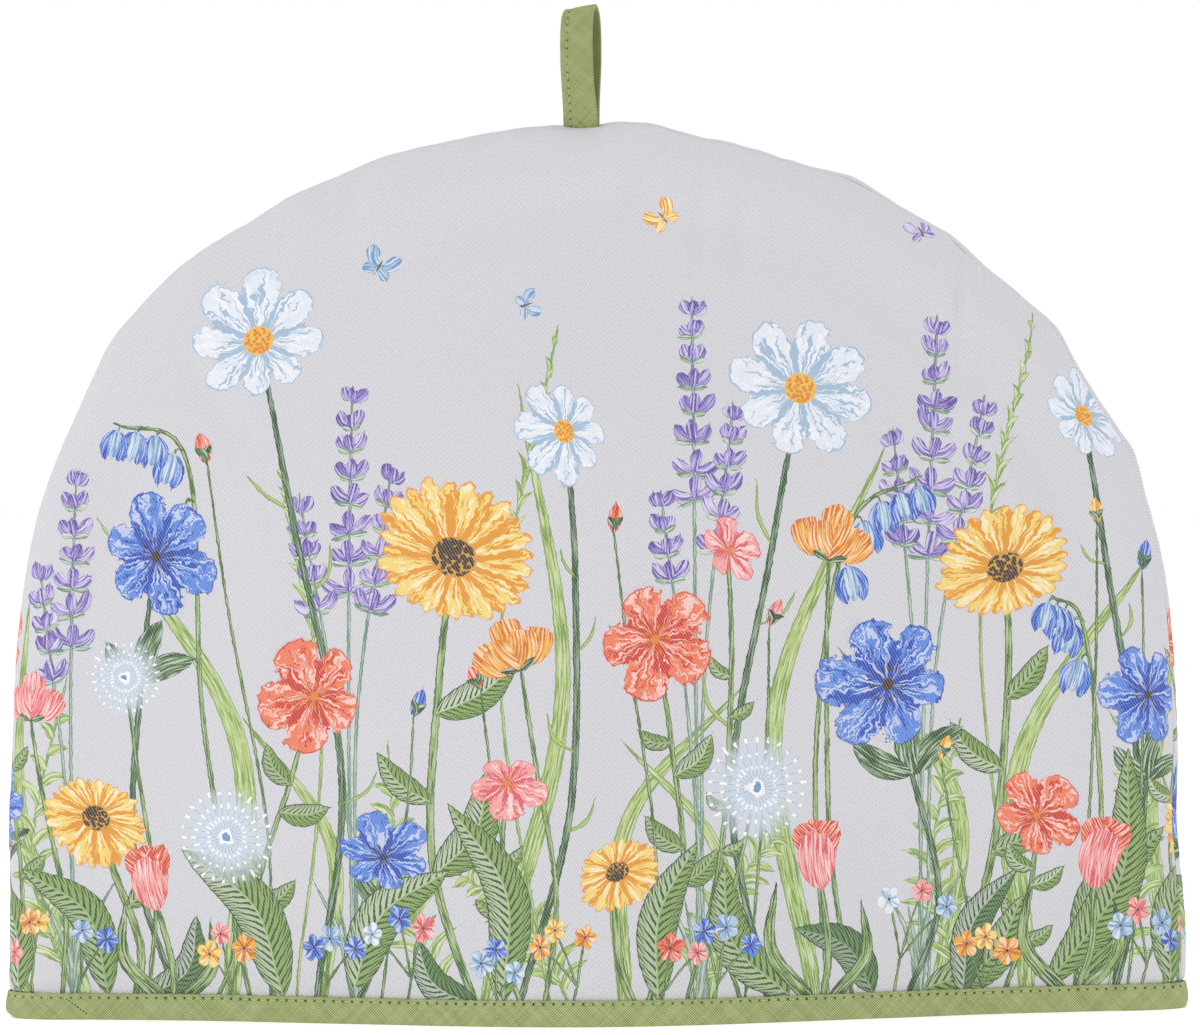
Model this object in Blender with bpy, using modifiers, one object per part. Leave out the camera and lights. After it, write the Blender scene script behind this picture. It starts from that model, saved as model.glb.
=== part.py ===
"""Tea cosy: two padded half-round panels sewn together along the arch, their open bottom edge
bound all round with bias tape, and a folded tape loop sewn into the top of the arch.

Metres, +Z up, the front towards -Y. The origin is on the floor under the middle of the hem.
"""

import math

import bmesh
import bpy
import numpy as np

# Driving dimensions.
HALF_DEPTH = 0.043  # seam's plane to the front of the hem, where it stands open
WALL = 0.0052  # cotton, wadding and cotton
WALL_IN_HEM = 0.0034  # the same wall, pressed flat inside the binding
TAPE = 0.0010  # folded bias tape
GAP = 0.0003  # kept between pieces that touch
SEAM_HALF_GAP = 0.00023  # each panel stands this far off the seam
TAPE_SLACK = 0.0007  # between the tape's inner leg and the wall
BINDING_HEIGHT = 0.0078
HEM_CLEAR = TAPE + 2 * GAP  # the panels' raw edge stands on the tape folded under it
LOOP_WIDTH = 0.0100
LOOP_TAPE = 0.0013  # the tape folded lengthwise and stitched shut

# The arch seam, seen from the front: its distance in each direction from the middle of the
# dome's bottom, just above the binding. Stitching draws it in between flatter stretches.
DOME_BOTTOM = 0.011
ARCH = (  # degrees from +X, mm
    (0, 176.9),
    (7, 177.5),
    (15, 181.0),
    (24, 191.5),
    (34, 207.6),
    (44, 224.3),
    (54, 237.8),
    (64, 245.9),
    (73, 252.0),
    (86, 256.2),
    (95, 255.3),
    (104, 254.6),
    (113, 250.9),
    (122, 246.0),
    (130, 235.2),
    (140, 218.0),
    (150, 200.6),
    (160, 187.3),
    (170, 179.4),
    (180, 177.3),
)

# The padded edge rolls over to the seam as a quarter of an ellipse. The seam is turned towards
# the front at the right end, and a little towards the back at the left end.
ROLL_REACH = 0.020
ROLL_DEPTH = 0.0112
SEAM_TURN = math.radians(10)
SEAM_TURN_SWING = math.radians(25)
GROOVE = 0.0011
GROOVE_REACH = 0.004

# The wadding puffs up away from the seam, and the open hem bows out in the middle. The bow
# fades towards the arch.
PUFF = 0.0045
PUFF_REACH = 0.032
BOW = HALF_DEPTH - ROLL_DEPTH - PUFF
BOW_HALF_WIDTH = 0.088
BOW_WIDENING = 0.35
BOW_FADE = 0.070

PINCH_FADE = 0.0075  # how far above the binding the wall swells back to its full thickness

# Puckers that run in from the arch seam: where they start and lean, and their size.
PUCKER_WIDENING = 18  # a pucker's half width grows by this share for each metre in from the seam
PUCKERS_FRONT = (  # degrees, lean in degrees, half width mm, reach mm, depth mm
    (21, 12, 7.0, 26, 0.8),
    (49, -8, 8.0, 30, 1.0),
    (61, -25, 5.5, 40, 1.1),
    (74, 6, 11.0, 34, 1.1),
    (83, -20, 5.0, 30, 1.4),
    (97, 10, 8.0, 24, 0.7),
    (109, -6, 9.0, 26, 0.9),
    (118, 5, 7.0, 22, 0.8),
    (134, 0, 10.0, 28, 0.7),
    (156, 8, 9.0, 24, 0.8),
)
PUCKERS_BACK = (
    (18, -6, 8.0, 24, 0.8),
    (33, 10, 9.0, 28, 0.9),
    (52, 0, 7.0, 32, 1.1),
    (68, -12, 9.0, 26, 0.9),
    (81, 14, 6.0, 34, 1.2),
    (101, -8, 8.0, 28, 1.0),
    (115, 8, 7.0, 24, 0.8),
    (130, -5, 10.0, 30, 0.9),
    (149, 6, 8.0, 24, 0.8),
)
# Broad swells and hollows where the wadding lies uneven, seen from the front.
SWELLS_FRONT = (  # x mm, height above the binding mm, radius mm, mm out
    (-118, 70, 48, 1.3),
    (-62, 150, 44, -0.9),
    (-20, 62, 40, 1.0),
    (44, 128, 46, 1.0),
    (72, 44, 34, -1.1),
    (122, 96, 46, 1.2),
    (8, 205, 42, 0.8),
    (-96, 34, 26, -0.9),
)
SWELLS_BACK = (
    (-110, 92, 50, 1.2),
    (-48, 44, 36, -1.0),
    (0, 118, 50, 1.3),
    (60, 190, 40, -0.8),
    (118, 62, 46, 1.0),
    (46, 52, 34, -0.9),
)

# The loop's near leg from the seam to the fold, its outer face. The far leg mirrors it.
LOOP_LEG = (  # height mm, out from the middle mm
    (0, 1.6),
    (5, 2.5),
    (11, 4.5),
    (18, 5.9),
    (25, 6.1),
    (31, 5.0),
    (34, 2.8),
    (35.2, 0),
)
LOOP_X = -0.0026
LOOP_YAW = math.radians(14)  # the far leg shows past the near one on the right
LOOP_SLOPE = 0.06  # the tape's left edge stands lower than its right edge
LOOP_LIFT = 0.0005  # its raw ends above the bottom of the seam's groove

# Mesh counts.
COLUMNS = 44
ROWS = 21
BAND_ROWS = 2  # inside the binding, below the dome's own rows
SECTION_STEPS = 72
SEAM_CROWDING = 1.8  # how much closer the mesh is near the arch seam
HEM_CROWDING = 1.5  # and near the hem
LOOP_COLUMNS = 3
LOOP_ROWS = 36

COLOURS = {  # base colour, roughness
    "printed_cotton": ((0.80, 0.79, 0.83, 1.0), 0.85),
    "green_tape": ((0.30, 0.40, 0.16, 1.0), 0.80),
}


def clear_scene():
    for old in list(bpy.data.objects):
        bpy.data.objects.remove(old, do_unlink=True)


def cloth_material(name):
    material = bpy.data.materials.new(name)
    material.use_nodes = True
    shader = material.node_tree.nodes["Principled BSDF"]
    colour, roughness = COLOURS[name]
    shader.inputs["Base Color"].default_value = colour
    shader.inputs["Roughness"].default_value = roughness
    shader.inputs["Metallic"].default_value = 0.0
    return material


def draped_grid(name, columns, rows, place, closed=False):
    """A flat grid carried onto a form: place(across, up), both from 0 to 1, gives each point."""
    mesh = bmesh.new()
    bmesh.ops.create_grid(mesh, x_segments=columns, y_segments=rows, size=0.5)
    for vertex in mesh.verts:
        vertex.co = place(vertex.co.x + 0.5, vertex.co.y + 0.5)
    if closed:
        bmesh.ops.remove_doubles(mesh, verts=mesh.verts, dist=1e-5)
    data = bpy.data.meshes.new(name)
    mesh.to_mesh(data)
    mesh.free()
    data.shade_smooth()
    return bpy.data.objects.new(name, data)


def give_thickness(sheet, thickness, group=None, least=0.0):
    """The open sheet becomes a closed wall, its thickness laid inwards from the sheet."""
    wall = sheet.modifiers.new("Thickness", "SOLIDIFY")
    wall.thickness = thickness
    wall.offset = -1.0
    wall.use_even_offset = True
    wall.use_rim = True
    if group:
        wall.vertex_group = group
        wall.thickness_vertex_group = least


def smooth_curve(x, table):
    """A smooth curve through the rows of a table of two columns (cubic, tangents by neighbours)."""
    at, value = np.array(table, float).T
    slope = np.gradient(value, at)
    row = int(np.clip(np.searchsorted(at, x) - 1, 0, len(at) - 2))
    step = at[row + 1] - at[row]
    t = (x - at[row]) / step
    start, end = value[row], value[row + 1]
    return (
        start * (1 + 2 * t) * (1 - t) ** 2
        + slope[row] * step * t * (1 - t) ** 2
        + end * t * t * (3 - 2 * t)
        + slope[row + 1] * step * t * t * (t - 1)
    )


def arch_radius(angle):
    return smooth_curve(math.degrees(angle), ARCH) / 1000


def fade(distance, reach):
    """From 0 at the edge to 1 at the reach, level at both ends."""
    t = np.clip(distance / reach, 0, 1)
    return t * t * (3 - 2 * t)


def bow(x, z):
    """How far the panel stands out beyond its rolled edge, above the binding."""
    height = np.clip(z / arch_radius(math.pi / 2), 0, 1)
    half_width = BOW_HALF_WIDTH * (1 + BOW_WIDENING * height)
    return BOW * (1 - height) * np.exp(-((x / half_width) ** 2))


def relief(x, z, from_seam, puckers, swells):
    """The puckers and the uneven wadding, as distance out from the even form."""
    out = 0.0
    for degrees, lean, half_width, reach, depth in puckers:
        angle = math.radians(degrees)
        radius = arch_radius(angle)
        inward = angle + math.pi + math.radians(lean)
        dx = x - radius * math.cos(angle)
        dz = z - radius * math.sin(angle)
        along = dx * math.cos(inward) + dz * math.sin(inward)
        across = dz * math.cos(inward) - dx * math.sin(inward)
        spread = half_width / 1000 * (1 + PUCKER_WIDENING * np.maximum(along, 0))
        dies_out = 1 - fade(along, reach / 1000)
        out = out - depth / 1000 * dies_out * np.exp(-((across / spread) ** 2))
    for middle, height, radius, rise in swells:
        away = ((x - middle / 1000) ** 2 + (z - height / 1000) ** 2) / (radius / 1000) ** 2
        out = out + rise / 1000 * np.exp(-away)
    return out * fade(from_seam, 2 * ROLL_REACH)


def section(angle, side):
    """The panel's outer skin cut along one direction, from the middle of the hem to the seam.

    Returns, point by point, the reach from the middle of the hem and the depth from the seam's
    plane, both measured in the cut. side is -1 for the front panel and +1 for the back one.
    """
    radius = arch_radius(angle)
    turn = SEAM_TURN + SEAM_TURN_SWING * math.cos(angle)
    steps = SECTION_STEPS // 2
    flat = np.linspace(0, radius - ROLL_REACH, steps, endpoint=False)
    roll = np.linspace(math.pi / 2, -side * turn, steps + 1)
    reach = np.concatenate([flat, radius - ROLL_REACH * (1 - np.cos(roll))])
    depth = np.concatenate([np.full(steps, ROLL_DEPTH), ROLL_DEPTH * np.sin(roll)])
    past_roll = np.maximum(radius - ROLL_REACH - reach, 0)
    depth += PUFF * (1 - np.exp(-past_roll / PUFF_REACH)) * fade(past_roll, ROLL_REACH)
    depth += fade(past_roll, BOW_FADE) * bow(reach * math.cos(angle), reach * math.sin(angle))
    return reach, depth


def skin_point(angle, share, side, sink=0.0):
    """A point of a panel's outer skin, its height taken from the bottom of the dome.

    share is how far it is from the middle of the hem to the seam, spaced closer near the seam,
    and sink is how far it lies under the even skin.
    """
    reach, depth = section(angle, side)
    run = np.concatenate([[0], np.cumsum(np.hypot(np.diff(reach), np.diff(depth)))])
    wanted = run[-1] * (1 - (1 - share) ** SEAM_CROWDING)
    tangent = np.gradient(reach, run), np.gradient(depth, run)
    along, out = (np.interp(wanted, run, column) for column in tangent)
    reach, depth = (np.interp(wanted, run, column) for column in (reach, depth))
    from_seam = run[-1] - wanted
    x, z = reach * math.cos(angle), reach * math.sin(angle)
    tables = (PUCKERS_FRONT, SWELLS_FRONT) if side < 0 else (PUCKERS_BACK, SWELLS_BACK)
    rise = relief(x, z, from_seam, *tables) if share < 1 else 0.0
    rise -= GROOVE * math.exp(-from_seam / GROOVE_REACH) + sink
    reach -= rise * out
    depth += rise * along
    return np.array([reach * math.cos(angle), side * depth, reach * math.sin(angle)])


def on_half_disc(across, up):
    """A square's point carried onto the half disc, its rows level near the straight edge."""
    x, y = 2 * across - 1, up
    return x * math.sqrt(1 - y * y * (1 - y / 2)), y * math.sqrt(1 - y * x * x / 2)


def dome_point(across, up, side, sink=0.0):
    x, y = on_half_disc(across, up)
    share = min(math.hypot(x, y), 1.0)
    angle = math.atan2(y * arch_radius(math.pi / 2), x * arch_radius(0))
    return skin_point(angle, share, side, sink)


def pinch(height):
    """How far the skin is drawn in at the hem, to lie flush with the binding over it."""
    above = max(height - BINDING_HEIGHT, 0.0) / PINCH_FADE
    return (TAPE + GAP + SEAM_HALF_GAP) * math.exp(-above * above)


def panel_point(across, up, side):
    """A panel's skin from its raw bottom edge, inside the binding, to the arch seam."""
    row = round(up * (ROWS + BAND_ROWS))
    if row < BAND_ROWS:
        point = dome_point(across, 0.0, side, pinch(0.0))
        point[2] = HEM_CLEAR + (BINDING_HEIGHT + GAP - HEM_CLEAR) * row
    else:
        rise = ((row - BAND_ROWS) / ROWS) ** HEM_CROWDING
        height = DOME_BOTTOM + dome_point(across, rise, side)[2]
        point = dome_point(across, rise, side, pinch(height))
        point[2] += DOME_BOTTOM
    point[1] += side * SEAM_HALF_GAP
    return point


def make_panel(name, side):
    def place(across, up):
        return panel_point(across if side < 0 else 1 - across, up, side)

    panel = draped_grid(name, COLUMNS, ROWS + BAND_ROWS, place)
    thickness = panel.vertex_groups.new(name="thickness")
    for vertex in panel.data.vertices:
        above = max(vertex.co.z - BINDING_HEIGHT, 0.0) / (2 * PINCH_FADE)
        thickness.add([vertex.index], 1 - math.exp(-above * above), "REPLACE")
    give_thickness(panel, WALL, "thickness", WALL_IN_HEM / WALL)
    panel.data.materials.append(bpy.data.materials["printed_cotton"])
    return panel


def hem_point(around, out):
    """A point of the hem's curve, out from the panels' pressed skin, for once round the cosy."""
    turns = 2 * around
    side, across = (-1, turns) if turns <= 1 else (1, 2 - turns)
    return dome_point(across, 0.0, side, pinch(0.0) - out)


def make_binding():
    """The tape's own section, a U over the panels' raw edge, carried once round the hem."""
    clear = GAP + SEAM_HALF_GAP
    outer = clear + TAPE
    inner = -(WALL_IN_HEM + TAPE_SLACK)
    middle = BINDING_HEIGHT / 2
    profile = (  # out from the panels' skin, height
        (outer, BINDING_HEIGHT),
        (outer, middle),
        (outer, 0.0),
        (inner - TAPE, 0.0),
        (inner - TAPE, middle),
        (inner - TAPE, BINDING_HEIGHT),
        (inner, BINDING_HEIGHT),
        (inner, middle),
        (inner, TAPE),
        (clear, TAPE),
        (clear, middle),
        (clear, BINDING_HEIGHT),
    )

    def place(around, along):
        out, height = profile[-round(along * len(profile)) % len(profile)]
        point = hem_point(around % 1, out)
        point[2] = height
        return point

    binding = draped_grid("hem_binding", 2 * COLUMNS, len(profile), place, closed=True)
    binding.data.materials.append(bpy.data.materials["green_tape"])
    return binding


def make_loop():
    """A hairpin of folded tape, standing on the seam, its width turned a little from the front."""
    heights, halves = np.array(LOOP_LEG, float).T / 1000
    rows = len(LOOP_LEG)
    near = [(index, -half) for index, half in enumerate(halves)]
    far = [(2 * rows - 2 - index, half) for index, half in enumerate(halves[:-1])][::-1]
    depths = near + far
    rises = [(index, heights[min(index, 2 * rows - 2 - index)]) for index in range(2 * rows - 1)]
    foot = DOME_BOTTOM + arch_radius(math.pi / 2) - GROOVE + LOOP_LIFT

    def place(across, along):
        step = along * (2 * rows - 2)
        depth, height = smooth_curve(step, depths), smooth_curve(step, rises)
        side = (across - 0.5) * LOOP_WIDTH
        x = LOOP_X + side * math.cos(LOOP_YAW) + depth * math.sin(LOOP_YAW)
        y = depth * math.cos(LOOP_YAW) - side * math.sin(LOOP_YAW)
        return x, y, foot + height + side * LOOP_SLOPE

    loop = draped_grid("top_loop", LOOP_COLUMNS, LOOP_ROWS, place)
    give_thickness(loop, LOOP_TAPE)
    loop.data.materials.append(bpy.data.materials["green_tape"])
    return loop


def build():
    clear_scene()
    parts = bpy.data.collections.new("tea_cosy")
    bpy.context.scene.collection.children.link(parts)
    for name in COLOURS:
        cloth_material(name)
    pieces = make_panel("front_panel", -1), make_panel("back_panel", 1), make_binding(), make_loop()
    for piece in pieces:
        parts.objects.link(piece)


build()
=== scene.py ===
"""Tea cosy: the cloth, the printed meadow, the tape and the sewing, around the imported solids."""

import math
import random

import bmesh
import bpy
import numpy as np
from mathutils import Matrix, Vector


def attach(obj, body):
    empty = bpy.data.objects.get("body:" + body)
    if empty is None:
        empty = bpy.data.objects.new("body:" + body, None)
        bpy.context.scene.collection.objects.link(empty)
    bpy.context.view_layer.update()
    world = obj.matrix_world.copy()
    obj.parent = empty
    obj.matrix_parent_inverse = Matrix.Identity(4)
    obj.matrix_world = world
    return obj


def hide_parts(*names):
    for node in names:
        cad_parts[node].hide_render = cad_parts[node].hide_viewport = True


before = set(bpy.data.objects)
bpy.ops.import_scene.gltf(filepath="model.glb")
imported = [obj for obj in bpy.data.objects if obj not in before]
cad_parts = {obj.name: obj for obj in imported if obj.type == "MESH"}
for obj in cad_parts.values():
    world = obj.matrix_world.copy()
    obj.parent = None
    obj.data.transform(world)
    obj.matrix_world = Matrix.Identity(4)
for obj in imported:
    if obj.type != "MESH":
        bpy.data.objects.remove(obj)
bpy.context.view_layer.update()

# ---------------------------------------------------------------------------------------------
# Front and back panels. Each is a half-round panel of cotton twill over wadding, its edge rolled
# over to the arch seam that joins the two. The seam and the wadding draw it into soft puckers,
# and the hem stands open, bowed out in the middle.

HALF_DEPTH = 0.043  # seam's plane to the front of the hem
WALL = 0.0052  # cotton, wadding and cotton
WALL_IN_HEM = 0.0034  # the same wall, pressed flat inside the binding
TAPE = 0.0010  # folded bias tape
SEAM_HALF_GAP = 0.00023  # each panel stands this far off the seam
TAPE_LIFT = 0.00053  # from the pressed skin to the tape's inner face
BINDING_HEIGHT = 0.0078
HEM_CLEAR = 0.0016  # the panels' raw edge stands on the tape folded under it
DOME_BOTTOM = 0.011
ARCH = (  # degrees from +X, mm from the middle of the dome's bottom to the seam
    (0, 177.3), (7, 178.3), (11, 179.0), (15, 181.0), (20, 186.6), (25, 193.0), (30, 200.8),
    (35, 209.7), (38, 214.7), (41, 219.8), (44, 225.8), (46, 227.3), (48, 229.3), (50, 231.7),
    (52, 234.7), (54, 238.7), (56, 240.1), (58, 241.3), (61, 243.3), (64, 246.9), (67, 248.0),
    (70, 250.6), (72, 252.3), (74, 251.8), (77, 252.3), (80, 253.7), (83, 254.5), (86, 256.9),
    (90, 256.5), (95, 256.0), (100, 255.0), (104, 254.7), (108, 252.8), (111, 252.1), (114, 250.0),
    (117, 249.1), (120, 247.7), (122, 245.9), (124, 243.9), (127, 240.7), (130, 234.9),
    (132, 231.3), (134, 228.0), (137, 223.3), (140, 218.4), (145, 209.4), (150, 201.0),
    (155, 193.4), (160, 187.4), (165, 183.4), (170, 179.7), (175, 177.9), (180, 177.6),
)
ROLL_REACH = 0.020
ROLL_DEPTH = 0.0112
SEAM_TURN = math.radians(10)
SEAM_TURN_SWING = math.radians(12)
GROOVE = 0.0011
GROOVE_REACH = 0.004
LOOP_ANGLE = math.radians(90.58)  # where the loop goes into the seam
LOOP_CLEFT = (0.0075, 0.0010)  # half width, and how much deeper the groove is there
PUFF = 0.0045
PUFF_REACH = 0.032
BOW = HALF_DEPTH - ROLL_DEPTH - PUFF
BOW_HALF_WIDTH = 0.088
BOW_WIDENING = 0.35
BOW_FADE = 0.070
PINCH_FADE = 0.0075  # how far above the binding the wall swells back to its full thickness
PINCH_AT_ENDS = 0.10  # of that, at the two side seams
SIDE_SEAMS = (0.158, 0.014)  # from this far off the middle, and over this run

PUCKER_WIDENING = 18
PUCKERS = {  # by side: degrees, lean in degrees, half width mm, reach mm, depth mm
    -1: (
        (21, 12, 7.0, 26, 1.1), (49, -8, 8.0, 34, 1.6), (60, -25, 5.5, 40, 1.5),
        (77, 6, 9.0, 38, 1.9), (83, -20, 5.0, 34, 1.8), (97, 10, 8.0, 24, 1.0),
        (108, -6, 7.0, 30, 1.4), (116, 5, 6.0, 26, 1.2), (133, 0, 9.0, 32, 1.4),
        (156, 8, 9.0, 24, 1.1),
    ),
    1: (
        (18, -6, 8.0, 24, 0.8), (33, 10, 9.0, 28, 0.9), (52, 0, 7.0, 32, 1.1),
        (68, -12, 9.0, 26, 0.9), (81, 14, 6.0, 34, 1.2), (101, -8, 8.0, 28, 1.0),
        (115, 8, 7.0, 24, 0.8), (130, -5, 10.0, 30, 0.9), (149, 6, 8.0, 24, 0.8),
    ),
}
SWELLS = {  # by side: x mm, height above the dome's bottom mm, radius mm, mm out
    -1: (
        (-118, 70, 48, 1.3), (-62, 150, 44, -0.9), (-20, 62, 40, 1.0), (44, 128, 46, 1.0),
        (72, 44, 34, -1.1), (122, 96, 46, 1.2), (8, 205, 42, 0.8), (-96, 34, 26, -0.9),
    ),
    1: (
        (-110, 92, 50, 1.2), (-48, 44, 36, -1.0), (0, 118, 50, 1.3), (60, 190, 40, -0.8),
        (118, 62, 46, 1.0), (46, 52, 34, -0.9),
    ),
}
CREASES = {  # by side: from x, height mm, to x, height mm, half width mm, depth mm
    -1: (
        (24, 262, 8, 236, 2.8, 1.00), (111, 232, 110, 196, 2.4, 0.95),
        (80, 250, 70, 226, 5.0, 0.90), (34, 254, 31, 214, 3.2, 0.55),
        (46, 252, 43, 214, 3.6, 0.60), (-42, 256, -56, 236, 4.0, 0.60),
        (-68, 250, -76, 226, 4.0, 0.50), (-120, 196, -104, 172, 4.0, 0.50),
        (-164, 60, -146, 66, 4.5, 0.40), (-60, 14, -58, 40, 5.0, 0.45),
        (38, 14, 41, 36, 5.0, 0.45), (112, 14, 109, 44, 5.0, 0.50), (-132, 14, -128, 38, 4.5, 0.40),
    ),
    1: (
        (-22, 258, -12, 228, 3.0, 0.90), (-96, 226, -88, 196, 3.0, 0.80),
        (58, 242, 50, 214, 3.6, 0.70), (118, 200, 108, 176, 4.0, 0.60),
        (-150, 92, -128, 98, 4.5, 0.40), (-70, 14, -68, 42, 5.0, 0.45),
        (22, 14, 24, 38, 5.0, 0.45), (104, 14, 106, 40, 5.0, 0.45),
    ),
}
CREASE_STARTS, CREASE_DIES = (-0.25, 0.5), (0.55, 0.7)  # from, and over, in shares of its length
GATHERS = 76  # fine gathers that the seam's stitches draw in, all along the arch
GATHER_SEEDS = {-1: 11, 1: 12}
GATHER_HALF_WIDTHS = (0.0016, 0.0034)
GATHER_REACHES = (0.008, 0.018)
GATHER_DEPTH = 0.00030
GATHER_SHARES = (0.3, 1.0)  # of that depth
GATHER_EDGE = 0.003  # a gather comes up over this far from the seam
GATHER_SIDES = 3  # and has died out at three half widths
COLUMNS, ROWS = 300, 216  # the mesh of the outer skin, about 1.2 mm apart
INNER_COLUMNS, INNER_ROWS = 100, 72
BAND_LEVELS = (HEM_CLEAR, 0.0047, BINDING_HEIGHT, 0.0087)  # rows in the binding and just above it
BAND_ROWS = len(BAND_LEVELS)
SECTION_STEPS = 240
TABLE_ANGLES = 361
SEAM_CROWDING = 1.2  # how much closer the mesh is near the arch seam
HEM_CROWDING = 1.15  # and near the hem


def smooth_curve(x, table):
    """A smooth curve through the rows of a table of two columns (cubic, tangents by neighbours)."""
    at, value = np.array(table, float).T
    slope = np.gradient(value, at)
    row = np.clip(np.searchsorted(at, x) - 1, 0, len(at) - 2)
    step = at[row + 1] - at[row]
    t = (x - at[row]) / step
    start, end = value[row], value[row + 1]
    return (
        start * (1 + 2 * t) * (1 - t) ** 2
        + slope[row] * step * t * (1 - t) ** 2
        + end * t * t * (3 - 2 * t)
        + slope[row + 1] * step * t * t * (t - 1)
    )


def arch_radius(angle):
    return smooth_curve(np.degrees(angle), ARCH) / 1000


def fade(distance, reach):
    """From 0 at the edge to 1 at the reach, level at both ends."""
    t = np.clip(distance / reach, 0, 1)
    return t * t * (3 - 2 * t)


def bow(x, z):
    """How far the panel stands out beyond its rolled edge, above the binding."""
    height = np.clip(z / arch_radius(math.pi / 2), 0, 1)
    half_width = BOW_HALF_WIDTH * (1 + BOW_WIDENING * height)
    return BOW * (1 - height) * np.exp(-((x / half_width) ** 2))


def section_table(side):
    """The panel's even skin, cut along each direction from the middle of the hem to the seam.

    One layer for each angle, with rows at equal runs of cloth: reach, depth, the skin's slope
    along the cut and out of it, and the run itself.
    """
    layers = []
    for angle in np.linspace(0, math.pi, TABLE_ANGLES):
        radius = arch_radius(angle)
        turn = SEAM_TURN + SEAM_TURN_SWING * math.cos(angle)
        steps = SECTION_STEPS // 2
        flat = np.linspace(0, radius - ROLL_REACH, steps, endpoint=False)
        roll = np.linspace(math.pi / 2, -side * turn, steps + 1)
        reach = np.concatenate([flat, radius - ROLL_REACH * (1 - np.cos(roll))])
        depth = np.concatenate([np.full(steps, ROLL_DEPTH), ROLL_DEPTH * np.sin(roll)])
        past_roll = np.maximum(radius - ROLL_REACH - reach, 0)
        depth += PUFF * (1 - np.exp(-past_roll / PUFF_REACH)) * fade(past_roll, ROLL_REACH)
        depth += fade(past_roll, BOW_FADE) * bow(reach * math.cos(angle), reach * math.sin(angle))
        run = np.concatenate([[0], np.cumsum(np.hypot(np.diff(reach), np.diff(depth)))])
        even = np.linspace(0, run[-1], 2 * SECTION_STEPS)
        columns = reach, depth, np.gradient(reach, run), np.gradient(depth, run), run
        layers.append([np.interp(even, run, column) for column in columns])
    return np.array(layers)


SECTIONS = {side: section_table(side) for side in (-1, 1)}


def skin_at(side, angle, part):
    """The even skin at each angle, part of the way along its cut, read between the table's rows."""
    table = SECTIONS[side]
    across = np.clip(angle / math.pi, 0, 1) * (table.shape[0] - 1)
    along = np.clip(part, 0, 1) * (table.shape[2] - 1)
    row = np.minimum(across.astype(int), table.shape[0] - 2)
    column = np.minimum(along.astype(int), table.shape[2] - 2)
    u, v = (across - row)[:, None], (along - column)[:, None]
    near = table[row, :, column] * (1 - v) + table[row, :, column + 1] * v
    far = table[row + 1, :, column] * (1 - v) + table[row + 1, :, column + 1] * v
    return (near * (1 - u) + far * u).T


def gather_table(side):
    """Where each fine gather starts on the arch, its half width, reach and depth."""
    chance = random.Random(GATHER_SEEDS[side])
    for index in range(GATHERS):
        degrees = 180 * (index + chance.uniform(0.1, 0.9)) / GATHERS
        half_width = chance.uniform(*GATHER_HALF_WIDTHS)
        reach = chance.uniform(*GATHER_REACHES)
        yield math.radians(degrees), half_width, reach, GATHER_DEPTH * chance.uniform(*GATHER_SHARES)


def relief(side, x, z, from_seam, angle):
    """The puckers, creases and uneven wadding, as distance out from the even form."""
    out = np.zeros(len(x))
    for degrees, lean, half_width, reach, depth in PUCKERS[side]:
        start = math.radians(degrees)
        inward = start + math.pi + math.radians(lean)
        dx = x - arch_radius(start) * math.cos(start)
        dz = z - arch_radius(start) * math.sin(start)
        along = dx * math.cos(inward) + dz * math.sin(inward)
        across = dz * math.cos(inward) - dx * math.sin(inward)
        spread = half_width / 1000 * (1 + PUCKER_WIDENING * np.maximum(along, 0))
        out -= depth / 1000 * (1 - fade(along, reach / 1000)) * np.exp(-((across / spread) ** 2))
    for middle, height, radius, rise in SWELLS[side]:
        away = ((x - middle / 1000) ** 2 + (z - height / 1000) ** 2) / (radius / 1000) ** 2
        out += rise / 1000 * np.exp(-away)
    out *= fade(from_seam, 2 * ROLL_REACH)
    for x1, z1, x2, z2, half_width, depth in CREASES[side]:
        start = np.array([x1, z1 - 1000 * DOME_BOTTOM]) / 1000
        step = np.array([x2 - x1, z2 - z1]) / 1000
        share = ((x - start[0]) * step[0] + (z - start[1]) * step[1]) / (step @ step)
        across = ((x - start[0]) * step[1] - (z - start[1]) * step[0]) / np.hypot(*step)
        ends = fade(share - CREASE_STARTS[0], CREASE_STARTS[1])
        ends = ends * (1 - fade(share - CREASE_DIES[0], CREASE_DIES[1]))
        out -= depth / 1000 * ends * np.exp(-((across * 1000 / half_width) ** 2))
    for start, half_width, reach, depth in gather_table(side):
        across = arch_radius(start) * (angle - start)
        beside = np.abs(across) < GATHER_SIDES * half_width
        dies_out = fade(from_seam, GATHER_EDGE) * (1 - fade(from_seam, reach))
        out -= beside * depth * dies_out * np.exp(-((across / half_width) ** 2))
    return out


def skin(angle, share, side, under=0.0, plain=False, groove=GROOVE):
    """Points of a panel's skin, heights taken from the dome's bottom, and the flat cloth's own.

    share is how far each is from the middle of the hem to the seam, under how far it lies below
    the skin, and plain leaves out the seam's groove and the relief. The groove is deeper where
    the hanging loop goes in.
    """
    part = 1 - (1 - share) ** SEAM_CROWDING
    reach, depth, along, out, run = skin_at(side, angle, part)
    from_seam = skin_at(side, angle, np.ones(len(share)))[4] - run
    rise = -under * np.ones(len(share))
    if not plain:
        x, z = reach * np.cos(angle), reach * np.sin(angle)
        rise = rise + relief(side, x, z, from_seam, angle)
        at_loop = np.exp(-((arch_radius(angle) * (angle - LOOP_ANGLE) / LOOP_CLEFT[0]) ** 4))
        groove = groove + LOOP_CLEFT[1] * at_loop
        rise = rise - groove * np.exp(-from_seam / GROOVE_REACH)
    reach, depth = reach - rise * out, depth + rise * along
    point = np.array([reach * np.cos(angle), side * depth, reach * np.sin(angle)]).T
    return point, np.array([-side * run * np.cos(angle), run * np.sin(angle)]).T


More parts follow.
